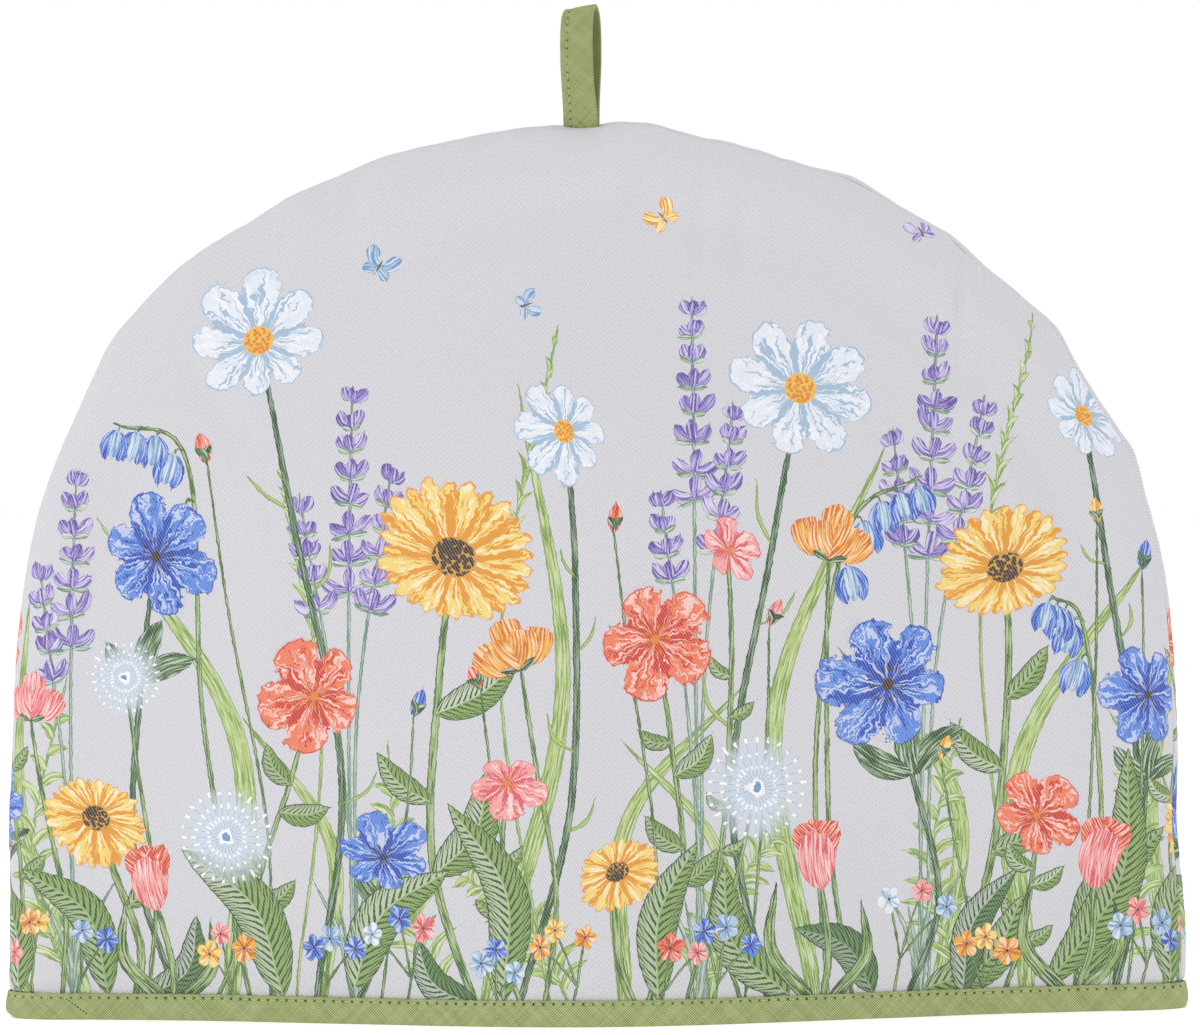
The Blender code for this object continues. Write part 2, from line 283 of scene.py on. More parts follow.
def dome(across, up, side, under=0.0, plain=False):
    """The square's points carried onto the half disc, rows level near the hem, then the skin."""
    x, y = 2 * across - 1, up
    x, y = x * np.sqrt(1 - y * y * (1 - y / 2)), y * np.sqrt(1 - y * x * x / 2)
    angle = np.arctan2(y * arch_radius(math.pi / 2), x * arch_radius(0))
    return skin(angle, np.minimum(np.hypot(x, y), 1.0), side, under, plain)


def above_binding(height, reach):
    """From 1 at the binding and below to 0 well above it."""
    return np.exp(-((np.maximum(height - BINDING_HEIGHT, 0) / reach) ** 2))


def panel_skin(mesh, side, columns, rows, inner):
    """One face of a panel, from its raw bottom edge in the binding to the seam, with the place
    of each point on the flat cloth."""
    made = bmesh.ops.create_grid(mesh, x_segments=columns, y_segments=rows + BAND_ROWS, size=0.5)
    across, up, _ = (np.array([v.co for v in made["verts"]]) + 0.5).T
    row = np.round(up * (rows + BAND_ROWS))
    across = across if side < 0 else 1 - across
    rise = (np.maximum(row - BAND_ROWS, 0) / rows) ** HEM_CROWDING
    x, _, height = dome(across, rise, side, plain=True)[0].T
    band = row < BAND_ROWS
    level = np.interp(row, range(BAND_ROWS), BAND_LEVELS)
    height[:] = np.where(band, level, DOME_BOTTOM + height)
    at_side = fade(abs(x) - SIDE_SEAMS[0], SIDE_SEAMS[1])
    reach = PINCH_FADE * (1 - (1 - PINCH_AT_ENDS) * at_side)
    under = (TAPE + TAPE_LIFT) * above_binding(height, reach)
    if inner:
        under += WALL - (WALL - WALL_IN_HEM) * above_binding(height, 2 * reach)
    point, flat = dome(across, rise, side, under, plain=inner)
    point[:, 2] += DOME_BOTTOM
    flat[:, 1] += DOME_BOTTOM
    point[band, 2] = flat[band, 1] = level[band]
    point[:, 1] += side * SEAM_HALF_GAP
    cloth = mesh.verts.layers.float_vector["cloth"]
    for vertex, at, (u, v) in zip(made["verts"], point, flat):
        vertex.co = at
        vertex[cloth] = u, v, 0
    return made["verts"]


def rim(verts):
    return {e for v in verts for e in v.link_edges if e.is_boundary}


def finished(mesh, name):
    """The mesh as an object at the origin, smooth, its faces outwards."""
    bmesh.ops.recalc_face_normals(mesh, faces=mesh.faces)
    data = bpy.data.meshes.new(name)
    mesh.to_mesh(data)
    mesh.free()
    data.shade_smooth()
    piece = bpy.data.objects.new(name, data)
    bpy.context.scene.collection.objects.link(piece)
    return piece


def make_panel(name, side):
    mesh = bmesh.new()
    mesh.verts.layers.float_vector.new("cloth")
    outer = rim(panel_skin(mesh, side, COLUMNS, ROWS, inner=False))
    printed = len(mesh.faces)
    inner = rim(panel_skin(mesh, side, INNER_COLUMNS, INNER_ROWS, inner=True))
    bmesh.ops.bridge_loops(mesh, edges=list(outer | inner))
    mesh.faces.ensure_lookup_table()
    for face in mesh.faces[printed:]:
        face.material_index = 1
    return finished(mesh, name)


front = make_panel("front_cloth", -1)
back = make_panel("back_cloth", 1)


class Value:
    """A socket of a material. Sums on it add Math nodes."""

    def __init__(self, finish, socket):
        self.finish, self.socket = finish, socket

    def of(self, operation, *others):
        """A Math node of this value, and of the others after it."""
        return self.finish.node("ShaderNodeMath", {"operation": operation}, (self, *others))[0]

    def __add__(self, other):
        return self.of("ADD", other)

    def __sub__(self, other):
        return self.of("SUBTRACT", other)

    def __rsub__(self, other):
        return self.finish.node("ShaderNodeMath", {"operation": "SUBTRACT"}, (other, self))[0]

    def __mul__(self, other):
        return self.of("MULTIPLY", other)

    def __truediv__(self, other):
        return self.of("DIVIDE", other)

    def __pow__(self, other):
        return self.of("POWER", other)

    def __lt__(self, other):
        return self.of("LESS_THAN", other)

    def __gt__(self, other):
        return self.of("GREATER_THAN", other)

    def __abs__(self):
        return self.of("ABSOLUTE")

    __radd__, __rmul__ = __add__, __mul__


class Finish:
    """One material: a Principled shader and the nodes that vary it."""

    def __init__(self, name, roughness, **fixed):
        self.material = bpy.data.materials.new(name)
        self.material.use_nodes = True
        self.tree = self.material.node_tree
        self.shader = self.tree.nodes["Principled BSDF"]
        self.shader.inputs["Roughness"].default_value = roughness
        for socket, value in fixed.items():
            self.shader.inputs[socket.replace("_", " ")].default_value = value

    def node(self, kind, settings=None, values=()):
        """Adds a node: its settings first, then the values or links of its sockets."""
        node = self.tree.nodes.new(kind)
        for key, value in (settings or {}).items():
            if key == "color_ramp":
                self.bands(node.color_ramp, value)
            else:
                setattr(node, key, value)
        for place, value in values.items() if isinstance(values, dict) else enumerate(values):
            if isinstance(value, Value):
                self.tree.links.new(value.socket, node.inputs[place])
            else:
                node.inputs[place].default_value = value
        return [Value(self, socket) for socket in node.outputs]

    def bands(self, ramp, colours):
        """Sets a ramp to bands of plain colours, all as wide."""
        ramp.interpolation = "CONSTANT"
        for index, colour in enumerate(colours):
            place = index / len(colours)
            stop = ramp.elements[index] if index < 2 else ramp.elements.new(place)
            stop.position, stop.color = place, colour

    def read(self, attribute):
        return self.node("ShaderNodeAttribute", {"attribute_name": attribute})

    def split(self, vector):
        return self.node("ShaderNodeSeparateXYZ", values=[vector])

    def join(self, x, y=0.0, z=0.0):
        return self.node("ShaderNodeCombineXYZ", values=[x, y, z])[0]

    def noise(self, x, y, detail=2.0):
        """Flat noise, whose patches are about 1 across."""
        values = {"Vector": self.join(x, y), "Scale": 1.0, "Detail": detail}
        return self.node("ShaderNodeTexNoise", {"noise_dimensions": "2D"}, values)[0]

    def luck(self, number):
        """A chance value from 0 to 1 for each number."""
        return self.node("ShaderNodeTexWhiteNoise", {"noise_dimensions": "1D"}, {"W": number})[0]

    def mix(self, amount, a, b):
        """From colour a to colour b."""
        return self.node("ShaderNodeMix", {"data_type": "RGBA"}, {0: amount, 6: a, 7: b})[2]

    def feed(self, socket, value):
        self.tree.links.new(value.socket, self.shader.inputs[socket])

    def bump(self, height, distance):
        """height from 0 to 1 stands for this distance in metres."""
        values = {"Height": height, "Distance": distance}
        self.feed("Normal", self.node("ShaderNodeBump", {}, values)[0])


def ink(red, green, blue):
    """A colour as seen, 0 to 255, as the linear one that shaders take."""
    return (*(((c / 255 + 0.055) / 1.055) ** 2.4 for c in (red, green, blue)), 1.0)


TWILL_PITCH = 0.00078  # from rib to rib
TWILL_LEAN = math.radians(30)  # of the ribs, from upright
SLUB_LENGTH = 0.0011  # of the yarns' uneven stretches, along the ribs
RIB_WANDER = 2.0  # radians
COTTON_BUMP = 0.00012
COTTON = ink(200, 199, 204), ink(220, 219, 224)  # between the ribs, darker there as painted shade, and on them


def twill(finish, u, v):
    """Height of the twill's diagonal ribs, steep and down to the right, with the yarns' unevenness."""
    across_ribs = (u * math.cos(TWILL_LEAN) + v * math.sin(TWILL_LEAN)) / TWILL_PITCH
    along_ribs = (v * math.cos(TWILL_LEAN) - u * math.sin(TWILL_LEAN)) / SLUB_LENGTH
    uneven = finish.noise(across_ribs * 0.6, along_ribs * 0.5)
    rib = across_ribs * math.tau + uneven * RIB_WANDER
    return rib.of("SINE") * 0.5 + 0.5, uneven


def cotton(name):
    """Bleached cotton twill, matt, faintly uneven, with its place on the flat cloth and its ribs."""
    finish = Finish(name, 0.9, Sheen_Weight=0.08, Specular_IOR_Level=0.25)
    u, v, _ = finish.split(finish.read("cloth")[1])
    rib, uneven = twill(finish, u, v)
    finish.bump(rib * 0.8 + uneven * 0.4, COTTON_BUMP)
    return finish, u, v, rib


plain, _, _, rib = cotton("plain_cotton")
# The hollows between the ribs are darker: painted shade.
plain.feed("Base Color", plain.mix(rib, *COTTON))

# The print, a meadow of common flowers. It is laid out in millimetres on the flat cloth, x from
# the middle and height above the floor, the same on both panels. It goes on bed by bed. Each face
# of the outer skin carries the places of the motifs that it shows of each bed, one to a layer: a
# blade (a leaf, petal, stalk or bud) by how far along and across it a point lies, a bloom by the
# point's place from its heart.

INKS = {  # fill, stroke
    "stalk": (ink(150, 174, 104), ink(84, 114, 68)),
    "deep stalk": (ink(98, 130, 90), ink(60, 88, 60)),
    "leaf": (ink(142, 168, 96), ink(64, 92, 56)),
    "fresh leaf": (ink(176, 196, 118), ink(126, 156, 82)),
    "deep leaf": (ink(100, 134, 82), ink(52, 80, 52)),
    "grey leaf": (ink(170, 190, 168), ink(112, 142, 122)),
    "white": (ink(226, 231, 241), ink(164, 188, 212)),
    "yellow": (ink(243, 213, 118), ink(228, 152, 44)),
    "orange": (ink(240, 174, 64), ink(214, 112, 40)),
    "blue": (ink(96, 138, 218), ink(52, 84, 178)),
    "pale blue": (ink(178, 202, 226), ink(116, 152, 194)),
    "coral": (ink(237, 126, 92), ink(204, 68, 52)),
    "pink": (ink(240, 162, 158), ink(220, 94, 102)),
    "lilac": (ink(190, 176, 220), ink(124, 106, 174)),
    "violet": (ink(158, 140, 206), ink(98, 82, 158)),
}
BEDS = {"back": 4, "blooms": 1, "front": 2, "florets": 1}  # layers of each
MOTIFS = {bed: [] for bed in BEDS}
LINE_POINTS = 8  # of a drawn line, to each point that it is given by
STALK_ENDS, LEAF_ENDS, GRASS_ENDS = (0.03, 0.14), (0.62, 0.85), (0.22, 0.7)  # foot and tip
chance = random.Random(5)


def through(*points):
    """A smooth line through points in mm."""
    at = np.linspace(0, 1, len(points))
    even = np.linspace(0, 1, LINE_POINTS * len(points))
    return np.array([smooth_curve(even, list(zip(at, column))) for column in zip(*points)]).T / 1000


def bowed(x1, h1, x2, h2, bend):
    """A line from one point to another, bowed to its left by a share of its length."""
    middle = (x1 + x2) / 2 - (h2 - h1) * bend, (h1 + h2) / 2 + (x2 - x1) * bend
    return through((x1, h1), middle, (x2, h2))


def part_way(line, share):
    """Where a line is at this share of its length, in mm, and its heading there in degrees."""
    index = min(int(share * (len(line) - 1)), len(line) - 2)
    here, step = line[index], line[index + 1] - line[index]
    here = here + step * (share * (len(line) - 1) - index)
    return 1000 * here[0], 1000 * here[1], math.degrees(math.atan2(step[1], step[0]))


def ink_row(name):
    return list(INKS).index(name)


def blade(line, half_width, base, tip, name, veins=0.0, streaks=0.0, bed="back"):
    """A leaf, petal or stalk. base and tip say how finely it ends, veins is the veins' spacing in
    mm, and streaks says how many brush strokes show."""
    widest = base / (base + tip)
    half = half_width / 1000 / (widest**base * (1 - widest) ** tip)
    look = ink_row(name), veins, streaks, chance.random()
    MOTIFS[bed].append((line, (half, base, tip), look))
    return line


def stalk(*points, width=0.9, name="stalk", bed="back"):
    return blade(through(*points), width, *STALK_ENDS, name, streaks=0.5, bed=bed)


def leaf(x1, h1, x2, h2, bend, width, name="leaf", veins=2.1, bed="back"):
    return blade(bowed(x1, h1, x2, h2, bend), width, *LEAF_ENDS, name, veins=veins, bed=bed)


def grass(x1, h1, x2, h2, bend, width, name="fresh leaf", bed="back"):
    return blade(bowed(x1, h1, x2, h2, bend), width, *GRASS_ENDS, name, streaks=0.7, bed=bed)


def petal(x, h, heading, length, width, name, bend=0.0, base=0.8, tip=0.4, bed="back"):
    turn = math.radians(heading)
    line = bowed(x, h, x + length * math.cos(turn), h + length * math.sin(turn), bend)
    return blade(line, width, base, tip, name, streaks=1.0, bed=bed)


def bloom(x, h, size, kind, tilt=1.0, lean=0.0, faces=0, bed="blooms"):
    """An open flower of one kind. tilt is how far it is foreshortened, and lean how much longer
    the petals show on the side that it faces away from, in degrees."""
    petals, name, heart, notch, point, heart_kind = kind
    turn = chance.uniform(0, math.tau)
    place = x / 1000, h / 1000, size / 1000, turn, tilt, petals, lean, faces
    look = ink_row(name), heart, chance.random(), heart_kind
    MOTIFS[bed].append((place, (notch, point, size), look))


# Petals, ink, heart's size, how deep the tips part, how broad they are, and the heart's kind:
# 0 pollen, 1 golden stamens, 2 dark stamens, 3 a clock of seeds, 4 a dark cone.
COSMOS = 8, "white", 0.19, 0.34, 2.6, 0
CONEFLOWER = 13, "yellow", 0.25, 0.46, 1.8, 4
ANEMONE = 6, "blue", 0.20, 0.42, 3.0, 2
WILD_ROSE = 5, "coral", 0.18, 0.40, 3.4, 1
PINK_ROSE = 5, "pink", 0.18, 0.40, 3.4, 1
SEED_CLOCK = 26, "pale blue", 0.10, 0.0, 1.0, 3


def floret(x, h, size, name, bed="florets"):
    kind = 5, name, 0.24, 0.40, 2.6, 2
    bloom(x, h, size * chance.uniform(0.85, 1.1), kind, tilt=chance.uniform(0.8, 1.0), bed=bed)


def leafy(line, shares, length, width, name="leaf", spread=46, veins=1.8, bed="back"):
    """Leaves up a stalk, by turns on its left and right."""
    for index, share in enumerate(shares):
        x, h, heading = part_way(line, share)
        side = 1 if index % 2 else -1
        out = math.radians(heading + side * (spread + chance.uniform(-12, 12)))
        long = length * chance.uniform(0.8, 1.2) * (1.1 - 0.45 * share)
        end = x + long * math.cos(out), h + long * math.sin(out)
        bend = side * chance.uniform(0.06, 0.2)
        leaf(x, h, *end, bend, width * long / length, name, veins, bed)


def cup(x, h, size, heading, outer, inner):
    """A tulip from the side: a petal behind, one at each side and one in front."""
    petal(x, h, heading, size, size * 0.30, outer, bed="front")
    for side in (-1, 1):
        petal(x, h, heading + side * 17, size * 0.98, size * 0.24, outer, -side * 0.17, bed="front")
    petal(x, h - 0.4, heading, size * 0.88, size * 0.29, inner, 0.04, 0.6, 0.5, bed="front")


def bowl(x, h, size, heading, name, back="back", front="front"):
    """A wide flower from the side, its petals spread: three behind and two in front."""
    for turn, long in ((-46, 0.86), (46, 0.9), (0, 1.0)):
        bend = turn * 0.003
        petal(x, h, heading + turn, size * long, size * 0.33, name, bend, 0.95, 0.3, back)
    for turn in (-24, 26):
        bend = turn * 0.004
        petal(x, h - 0.3, heading + turn, size * 0.74, size * 0.30, name, bend, 0.8, 0.32, front)
    for turn in (-70, 70):
        petal(x, h - 1.0, heading + turn, size * 0.34, size * 0.07, "deep leaf", bed=front)


def bud(x, h, size, heading, name, bed="back"):
    petal(x, h, heading, size, size * 0.26, name, base=0.55, tip=0.6, bed=bed)
    for side in (-1, 1):
        out, bend = heading + side * 24, -side * 0.2
        petal(x, h - 0.5, out, size * 0.6, size * 0.13, "deep leaf", bend, bed=bed)


def frond(line, pairs, longest, width, spread, start=0.12, name="fresh leaf", bed="back"):
    """A fern's or grass's leaflets up both sides of a line."""
    for index in range(pairs):
        share = start + (0.985 - start) * index / pairs
        for side in (-1, 1):
            x, h, heading = part_way(line, share + side * 0.2 / pairs)
            long = longest * (1 - (index / pairs) ** 2 * 0.8) * chance.uniform(0.85, 1.15)
            turn = heading + side * (spread + chance.uniform(-6, 6))
            petal(x, h, turn, long, width, name, -side * 0.14, 0.4, 0.7, bed=bed)


def spike(line, whorls, size, pitch=7.4):
    """Lavender's whorls of florets, down from the top of a stalk, larger and further apart lower
    down, none quite like the next."""
    length = 1000 * np.hypot(*np.diff(line, axis=0).T).sum()
    for index in range(whorls):
        below = 2 + index * pitch * (1 + 0.03 * index) + chance.uniform(-0.8, 0.8)
        x, h, heading = part_way(line, 1 - below / length)
        heading += chance.uniform(-13, 13)
        long = size * (1 + 0.12 * index)
        for side in (-1, 1):
            out = heading + side * (40 + 3.0 * index + chance.uniform(-16, 16))
            name = "lilac" if chance.random() < 0.55 else "violet"
            petal(x, h - 2.6, out, long * chance.uniform(0.8, 1.25), 1.9, name, side * 0.14, 0.6)
            if index:
                petal(x, h - 3.8, out + side * 30, long * chance.uniform(0.5, 0.8), 0.9, "grey leaf")
        petal(x, h - 3.2, heading + chance.uniform(-14, 14), long * 0.9, 1.8, "violet")


def lavender(foot, heads):
    """A clump: each head by its x, height and number of whorls."""
    for index, (x, h, whorls) in enumerate(heads):
        bend = foot + (x - foot) * 0.2, h * 0.55
        line = stalk((foot + index * 1.6, 4), bend, (x, h), name="grey leaf", width=0.55)
        spike(line, whorls, 4.2)
    for turn in (-17, -7, 8, 20):
        angle = math.radians(90 - turn)
        long = chance.uniform(26, 44)
        end = foot + long * math.cos(angle), 5 + long * math.sin(angle)
        grass(foot, 5, *end, turn * 0.004, 1.0, "grey leaf")


def bells(line, shares, size, name):
    """Bells that hang from an arching stalk."""
    for share in shares:
        x, h, heading = part_way(line, share)
        side = 1 if heading < 90 else -1
        long = size * (1.2 - 0.45 * share)
        swing = 270 + side * chance.uniform(4, 18)
        crown = x + 2.8 * side
        stalk((x, h), (x + 1.8 * side, h + 0.6), (crown, h - 2.0), width=0.35)
        for turn in (-1, 1):
            out, bend = swing + turn * 15, turn * 0.15
            petal(crown, h - 1.4, out, long, long * 0.22, name, bend, 0.4, 0.45)
        petal(crown, h - 1.2, swing, long * 0.92, long * 0.22, "pale blue", 0.02, 0.35, 0.45)


def posy(x, h, reach, heading, names, size=4.4, bed="florets"):
    """A sprig of small five-petalled flowers on thin branching stalks."""
    stalk((x - 2, 4), (x, h), width=0.5, bed="front")
    for index, name in enumerate(names):
        off_middle = index - (len(names) - 1) / 2
        turn = math.radians(heading + 27 * off_middle + chance.uniform(-5, 5))
        far = reach * (1 - 0.14 * abs(off_middle)) * chance.uniform(0.8, 1.15)
        end = x + far * math.cos(turn), h + far * math.sin(turn)
        stalk((x, h), ((x + end[0]) / 2, (h + end[1]) / 2 + 1), end, width=0.4, bed="front")
        floret(*end, size, name, bed)


def butterfly(x, h, size, heading, name):
    """Two large wings, two small ones and a body."""
    for side in (-1, 1):
        bend, small = side * 0.12, size * 0.68
        petal(x, h, heading + side * 42, size, size * 0.33, name, bend, 0.9, 0.28, "front")
        petal(x, h, heading + side * 116, small, size * 0.25, name, base=0.8, tip=0.35, bed="front")
    turn = math.radians(heading)
    back = x - size * 0.25 * math.cos(turn), h - size * 0.25 * math.sin(turn)
    petal(*back, heading, size * 0.62, size * 0.05, "deep stalk", base=0.3, tip=0.3, bed="front")


def stem(foot, x, h, sway, width=0.9, name="stalk", bed="back"):
    """A stalk from the hem to a flower, swung to one side on its way."""
    low = foot + 0.15 * (x - foot) + sway, 0.36 * h
    high = foot + 0.72 * (x - foot) + 0.5 * sway, 0.74 * h
    return stalk((foot, 4), low, high, (x, h), width=width, name=name, bed=bed)


def ruff(line, share, size, bed="back"):
    """Three cut leaves round a stalk, as under an anemone."""
    x, h, heading = part_way(line, share)
    for turn in (-62, -14, 48):
        long = size * chance.uniform(0.85, 1.1)
        petal(x, h, heading + turn, long, size * 0.2, "deep leaf", 0.08, 0.7, 0.7, bed)


# Far growth: grasses, ferns and lavender.
for row in (
    (-112, 6, -150, 152, -0.16, 3.3), (66, 6, 88, 172, 0.14, 3.0), (-34, 6, -22, 190, -0.10, 2.7),
    (132, 6, 168, 138, 0.16, 3.4), (8, 6, 44, 100, 0.18, 2.6), (-156, 6, -172, 128, 0.10, 2.8),
    (-84, 6, -106, 92, -0.18, 2.4), (34, 6, 8, 84, -0.2, 2.2), (104, 6, 72, 112, -0.2, 2.6),
    (176, 6, 188, 132, 0.1, 3.0), (-174, 6, -190, 96, 0.16, 3.2), (182, 6, 172, 74, -0.14, 2.4),
):
    grass(*row)
FERN, FEATHER_GRASS = (10, 12, 1.5, 56), (8, 7, 1.0, 24, 0.66)
for leaflets, points in (
    (FERN, ((-44, 6), (-58, 40), (-62, 84))), (FERN, ((112, 6), (102, 46), (110, 90))),
    (FERN, ((-160, 6), (-172, 50), (-160, 104))), (FERN, ((26, 6), (38, 36), (58, 60))),
    (FERN, ((-8, 6), (-20, 30), (-42, 46))), (FERN, ((156, 6), (166, 44), (160, 76))),
    (FEATHER_GRASS, ((-14, 6), (-28, 110), (-10, 208))),
    (FEATHER_GRASS, ((130, 6), (116, 120), (134, 212))),
    (FEATHER_GRASS, ((-92, 6), (-82, 90), (-94, 168))),
):
    frond(stalk(*points, width=0.5, name="fresh leaf"), *leaflets)
for foot, heads in (
    (-74, ((-72, 190, 8), (-60, 166, 6), (-88, 158, 5))),
    (98, ((104, 210, 9), (90, 176, 5), (118, 186, 6))),
    (-160, ((-156, 166, 7), (-168, 138, 5))),
    (30, ((30, 216, 8), (42, 184, 6), (20, 158, 4))),
):
    lavender(foot, heads)

# Tall flowers. Their blooms come after all the stalks and leaves behind them.
for x, h, size, foot, sway, tilt, lean, faces in (
    (-100, 204, 22, -86, 12, 0.92, 0.14, 120), (62, 188, 23, 52, -13, 0.95, 0.10, 60),
    (-8, 176, 17, -24, 14, 0.80, 0.20, 200), (148, 180, 16, 158, 9, 0.78, 0.22, 30),
):
    line = stem(foot, x, h, sway, 1.1, "deep stalk")
    leafy(line, (0.30, 0.42, 0.56, 0.68), 0.9 * size, 0.7, "fresh leaf", 34, 0)
    bloom(x, h, size, COSMOS, tilt, lean, faces)
for x, h, size, foot, sway, tilt, lean, faces, leaves in (
    (-42, 138, 26, -36, -12, 0.86, 0.16, 70, (0.3, 0.44, 0.6)),
    (124, 134, 22, 108, 10, 0.80, 0.20, 110, (0.34, 0.5, 0.64)),
    (-152, 62, 17, -142, 4, 0.84, 0.14, 250, (0.5,)), (6, 46, 14, 12, -4, 0.78, 0.15, 300, ()),
    (188, 58, 15, 184, 3, 0.9, 0.1, 180, ()),
):
    line = stem(foot, x, h, sway, 1.3)
    leafy(line, leaves, 1.15 * size, 0.21 * size, "leaf", 42, 2.0)
    bloom(x, h, size, CONEFLOWER, tilt, lean, faces)
for x, h, size, foot, sway, tilt, lean, faces in (
    (-132, 140, 20, -128, -12, 0.9, 0.14, 20), (88, 100, 22, 94, 11, 0.92, 0.12, 140),
    (-64, 50, 15, -74, 5, 0.8, 0.2, 80), (168, 96, 16, 158, 5, 0.86, 0.14, 190),
    (-188, 66, 15, -180, 3, 0.9, 0.1, 0),
):
    line = stem(foot, x, h, sway, 1.0, "deep stalk")
    ruff(line, 0.66, 0.9 * size)
    bloom(x, h, size, ANEMONE, tilt, lean, faces)
for x, h, size, foot, sway, tilt, lean, faces, kind in (
    (18, 114, 19, 14, 11, 0.94, 0.10, 330, WILD_ROSE),
    (-84, 98, 18, -98, -8, 0.88, 0.15, 160, WILD_ROSE),
    (134, 60, 15, 124, 4, 0.84, 0.16, 50, WILD_ROSE),
    (-26, 72, 12, -22, -6, 0.8, 0.2, 270, PINK_ROSE),
    (40, 140, 11, 26, 9, 0.74, 0.2, 30, PINK_ROSE),
    (186, 142, 14, 180, -4, 0.86, 0.1, 180, PINK_ROSE),
    (-186, 118, 13, -178, 3, 0.86, 0.1, 0, WILD_ROSE),
):
    line = stem(foot, x, h, sway, 0.9)
    leafy(line, (0.34, 0.42, 0.58, 0.66), 0.85 * size, 0.2 * size, "leaf", 52, 1.6)
    bloom(x, h, size, kind, tilt, lean, faces)
for x, h, size, foot, sway in (
    (-112, 56, 16, -118, 6), (48, 70, 17, 44, -6), (-142, 104, 12, -138, 4),
):
    stem(foot, x, h, sway, 0.7)
    bloom(x, h, size, SEED_CLOCK)
for points in (
    ((70, 4), (66, 80), (76, 146), (98, 162)), ((-106, 4), (-118, 90), (-122, 168), (-144, 180)),
    ((152, 4), (154, 60), (148, 116), (138, 126)),
):
    bells(stalk(*points, width=0.8), (0.60, 0.70, 0.79, 0.87, 0.95), 11, "blue")
for x, h, size, heading, foot, sway, name in (
    (-22, 106, 15, 112, -16, 5, "orange"), (70, 138, 15, 76, 78, -6, "orange"),
    (-172, 92, 13, 84, -164, 3, "pink"),
):
    stem(foot, x, h, sway, 0.8)
    bowl(x, h, size, heading, name)
for x, h, size, heading, name, foot in (
    (-116, 168, 9, 104, "coral", -100), (6, 146, 8, 84, "coral", 16), (166, 134, 9, 76, "blue", 162),
    (-34, 100, 7, 116, "coral", -28), (152, 148, 7, 96, "yellow", 146), (52, 118, 8, 64, "pink", 44),
    (-54, 92, 8, 70, "blue", -66), (104, 78, 7, 70, "yellow", 112),
):
    stem(foot, x, h, 3, 0.5)
    bud(x, h, size, heading, name)

# Near growth: broad leaves, tulips, and small flowers in front of the rest.
for row in (
    (-74, 10, -44, 46, 0.16, 7.0), (-96, 8, -126, 52, -0.16, 7.5), (58, 8, 38, 48, 0.18, 6.5),
    (100, 8, 130, 36, -0.18, 6.5), (150, 8, 174, 56, 0.16, 7.5), (-150, 8, -176, 46, -0.2, 6.0),
    (18, 8, 30, 54, 0.12, 6.0), (138, 8, 162, 80, -0.14, 7.0), (-28, 8, -44, 66, -0.16, 6.5),
    (176, 8, 196, 50, 0.2, 7.0), (-178, 8, -196, 44, -0.2, 6.5),
):
    leaf(*row, veins=2.6)
for row in (
    (84, 8, 60, 28, -0.18, 5.5), (-140, 6, -122, 32, -0.22, 5.0), (-36, 6, -54, 26, 0.2, 5.0),
    (112, 6, 128, 44, 0.14, 5.5),
):
    leaf(*row, name="deep leaf", bed="front")
for x, h, size, heading, foot in (
    (152, 38, 21, 78, 146), (-134, 34, 19, 100, -130), (68, 40, 20, 96, 68),
):
    for row in (
        (foot - 3, 6, foot - 14, h * 1.05, 0.2, 2.3), (foot + 3, 6, foot + 12, h * 0.9, -0.2, 2.1),
    ):
        grass(*row, name="leaf", bed="front")
    stalk((foot, 4), ((foot + x) / 2 + 2, h / 2), (x, h), width=1.1, bed="front")
    cup(x, h, size, heading, "coral", "pink")
for row in (
    (-56, 14, 18, 100, ("pink", "blue", "white")), (36, 12, 20, 80, ("blue", "pale blue", "blue")),
    (168, 14, 18, 100, ("pale blue", "pink", "pale blue")), (-158, 12, 16, 70, ("blue", "pale blue")),
    (92, 18, 24, 74, ("pale blue", "pink", "white")), (-6, 12, 16, 110, ("orange", "yellow", "orange")),
    (-112, 10, 16, 95, ("orange", "pink", "yellow")), (118, 8, 17, 84, ("orange", "yellow", "orange")),
    (-82, 12, 15, 80, ("blue", "pale blue", "blue")), (20, 10, 15, 64, ("pink", "coral")),
    (-30, 8, 13, 86, ("pale blue", "blue", "pale blue")), (-172, 20, 13, 90, ("yellow", "orange")),
    (184, 10, 15, 96, ("blue", "pink", "blue")), (-186, 8, 13, 80, ("pink", "pale blue")),
):
    posy(*row)
for row in (
    (-64, 226, 6.5, 60, "pale blue"), (22, 240, 6.0, 130, "yellow"), (100, 236, 5.5, 110, "lilac"),
    (-20, 214, 5.0, 20, "pale blue"),
):
    butterfly(*row)

MARGIN = 0.0014  # of cloth round a motif that carries its place
INSIDE = 0.0005  # a face this far inside a blade hides what lies below
BLADE_ROOM, BLOOM_ROOM = 1.1, 1.2  # half widths, and sizes, in which a motif's faces are looked for
NOWHERE = (0.0, 9.0, 0.0)  # the place on a face that shows no motif
CORNERS = 4  # of each face of the outer skin


def blade_place(motif, points):
    """How far outside a blade's edge each point lies, and its place along and across it."""
    line, (half, base, tip), _ = motif
    step = np.diff(line, axis=0)
    length = np.hypot(*step.T)
    offset = points[:, None] - line[:-1]
    share = np.clip((offset * step).sum(2) / length**2, 0, 1)
    offset = offset - share[..., None] * step
    away = np.hypot(offset[..., 0], offset[..., 1])
    pick, row = away.argmin(1), np.arange(len(points))
    run = np.concatenate([[0], np.cumsum(length)])
    along = (run[pick] + share[row, pick] * length[pick]) / run[-1]
    turn = step[pick, 0] * offset[row, pick, 1] - step[pick, 1] * offset[row, pick, 0]
    across = away[row, pick] * np.where(turn < 0, -1, 1)
    gap = np.abs(across) - half * along**base * (1 - along) ** tip
    return gap, np.array([along, across, along * run[-1]]).T


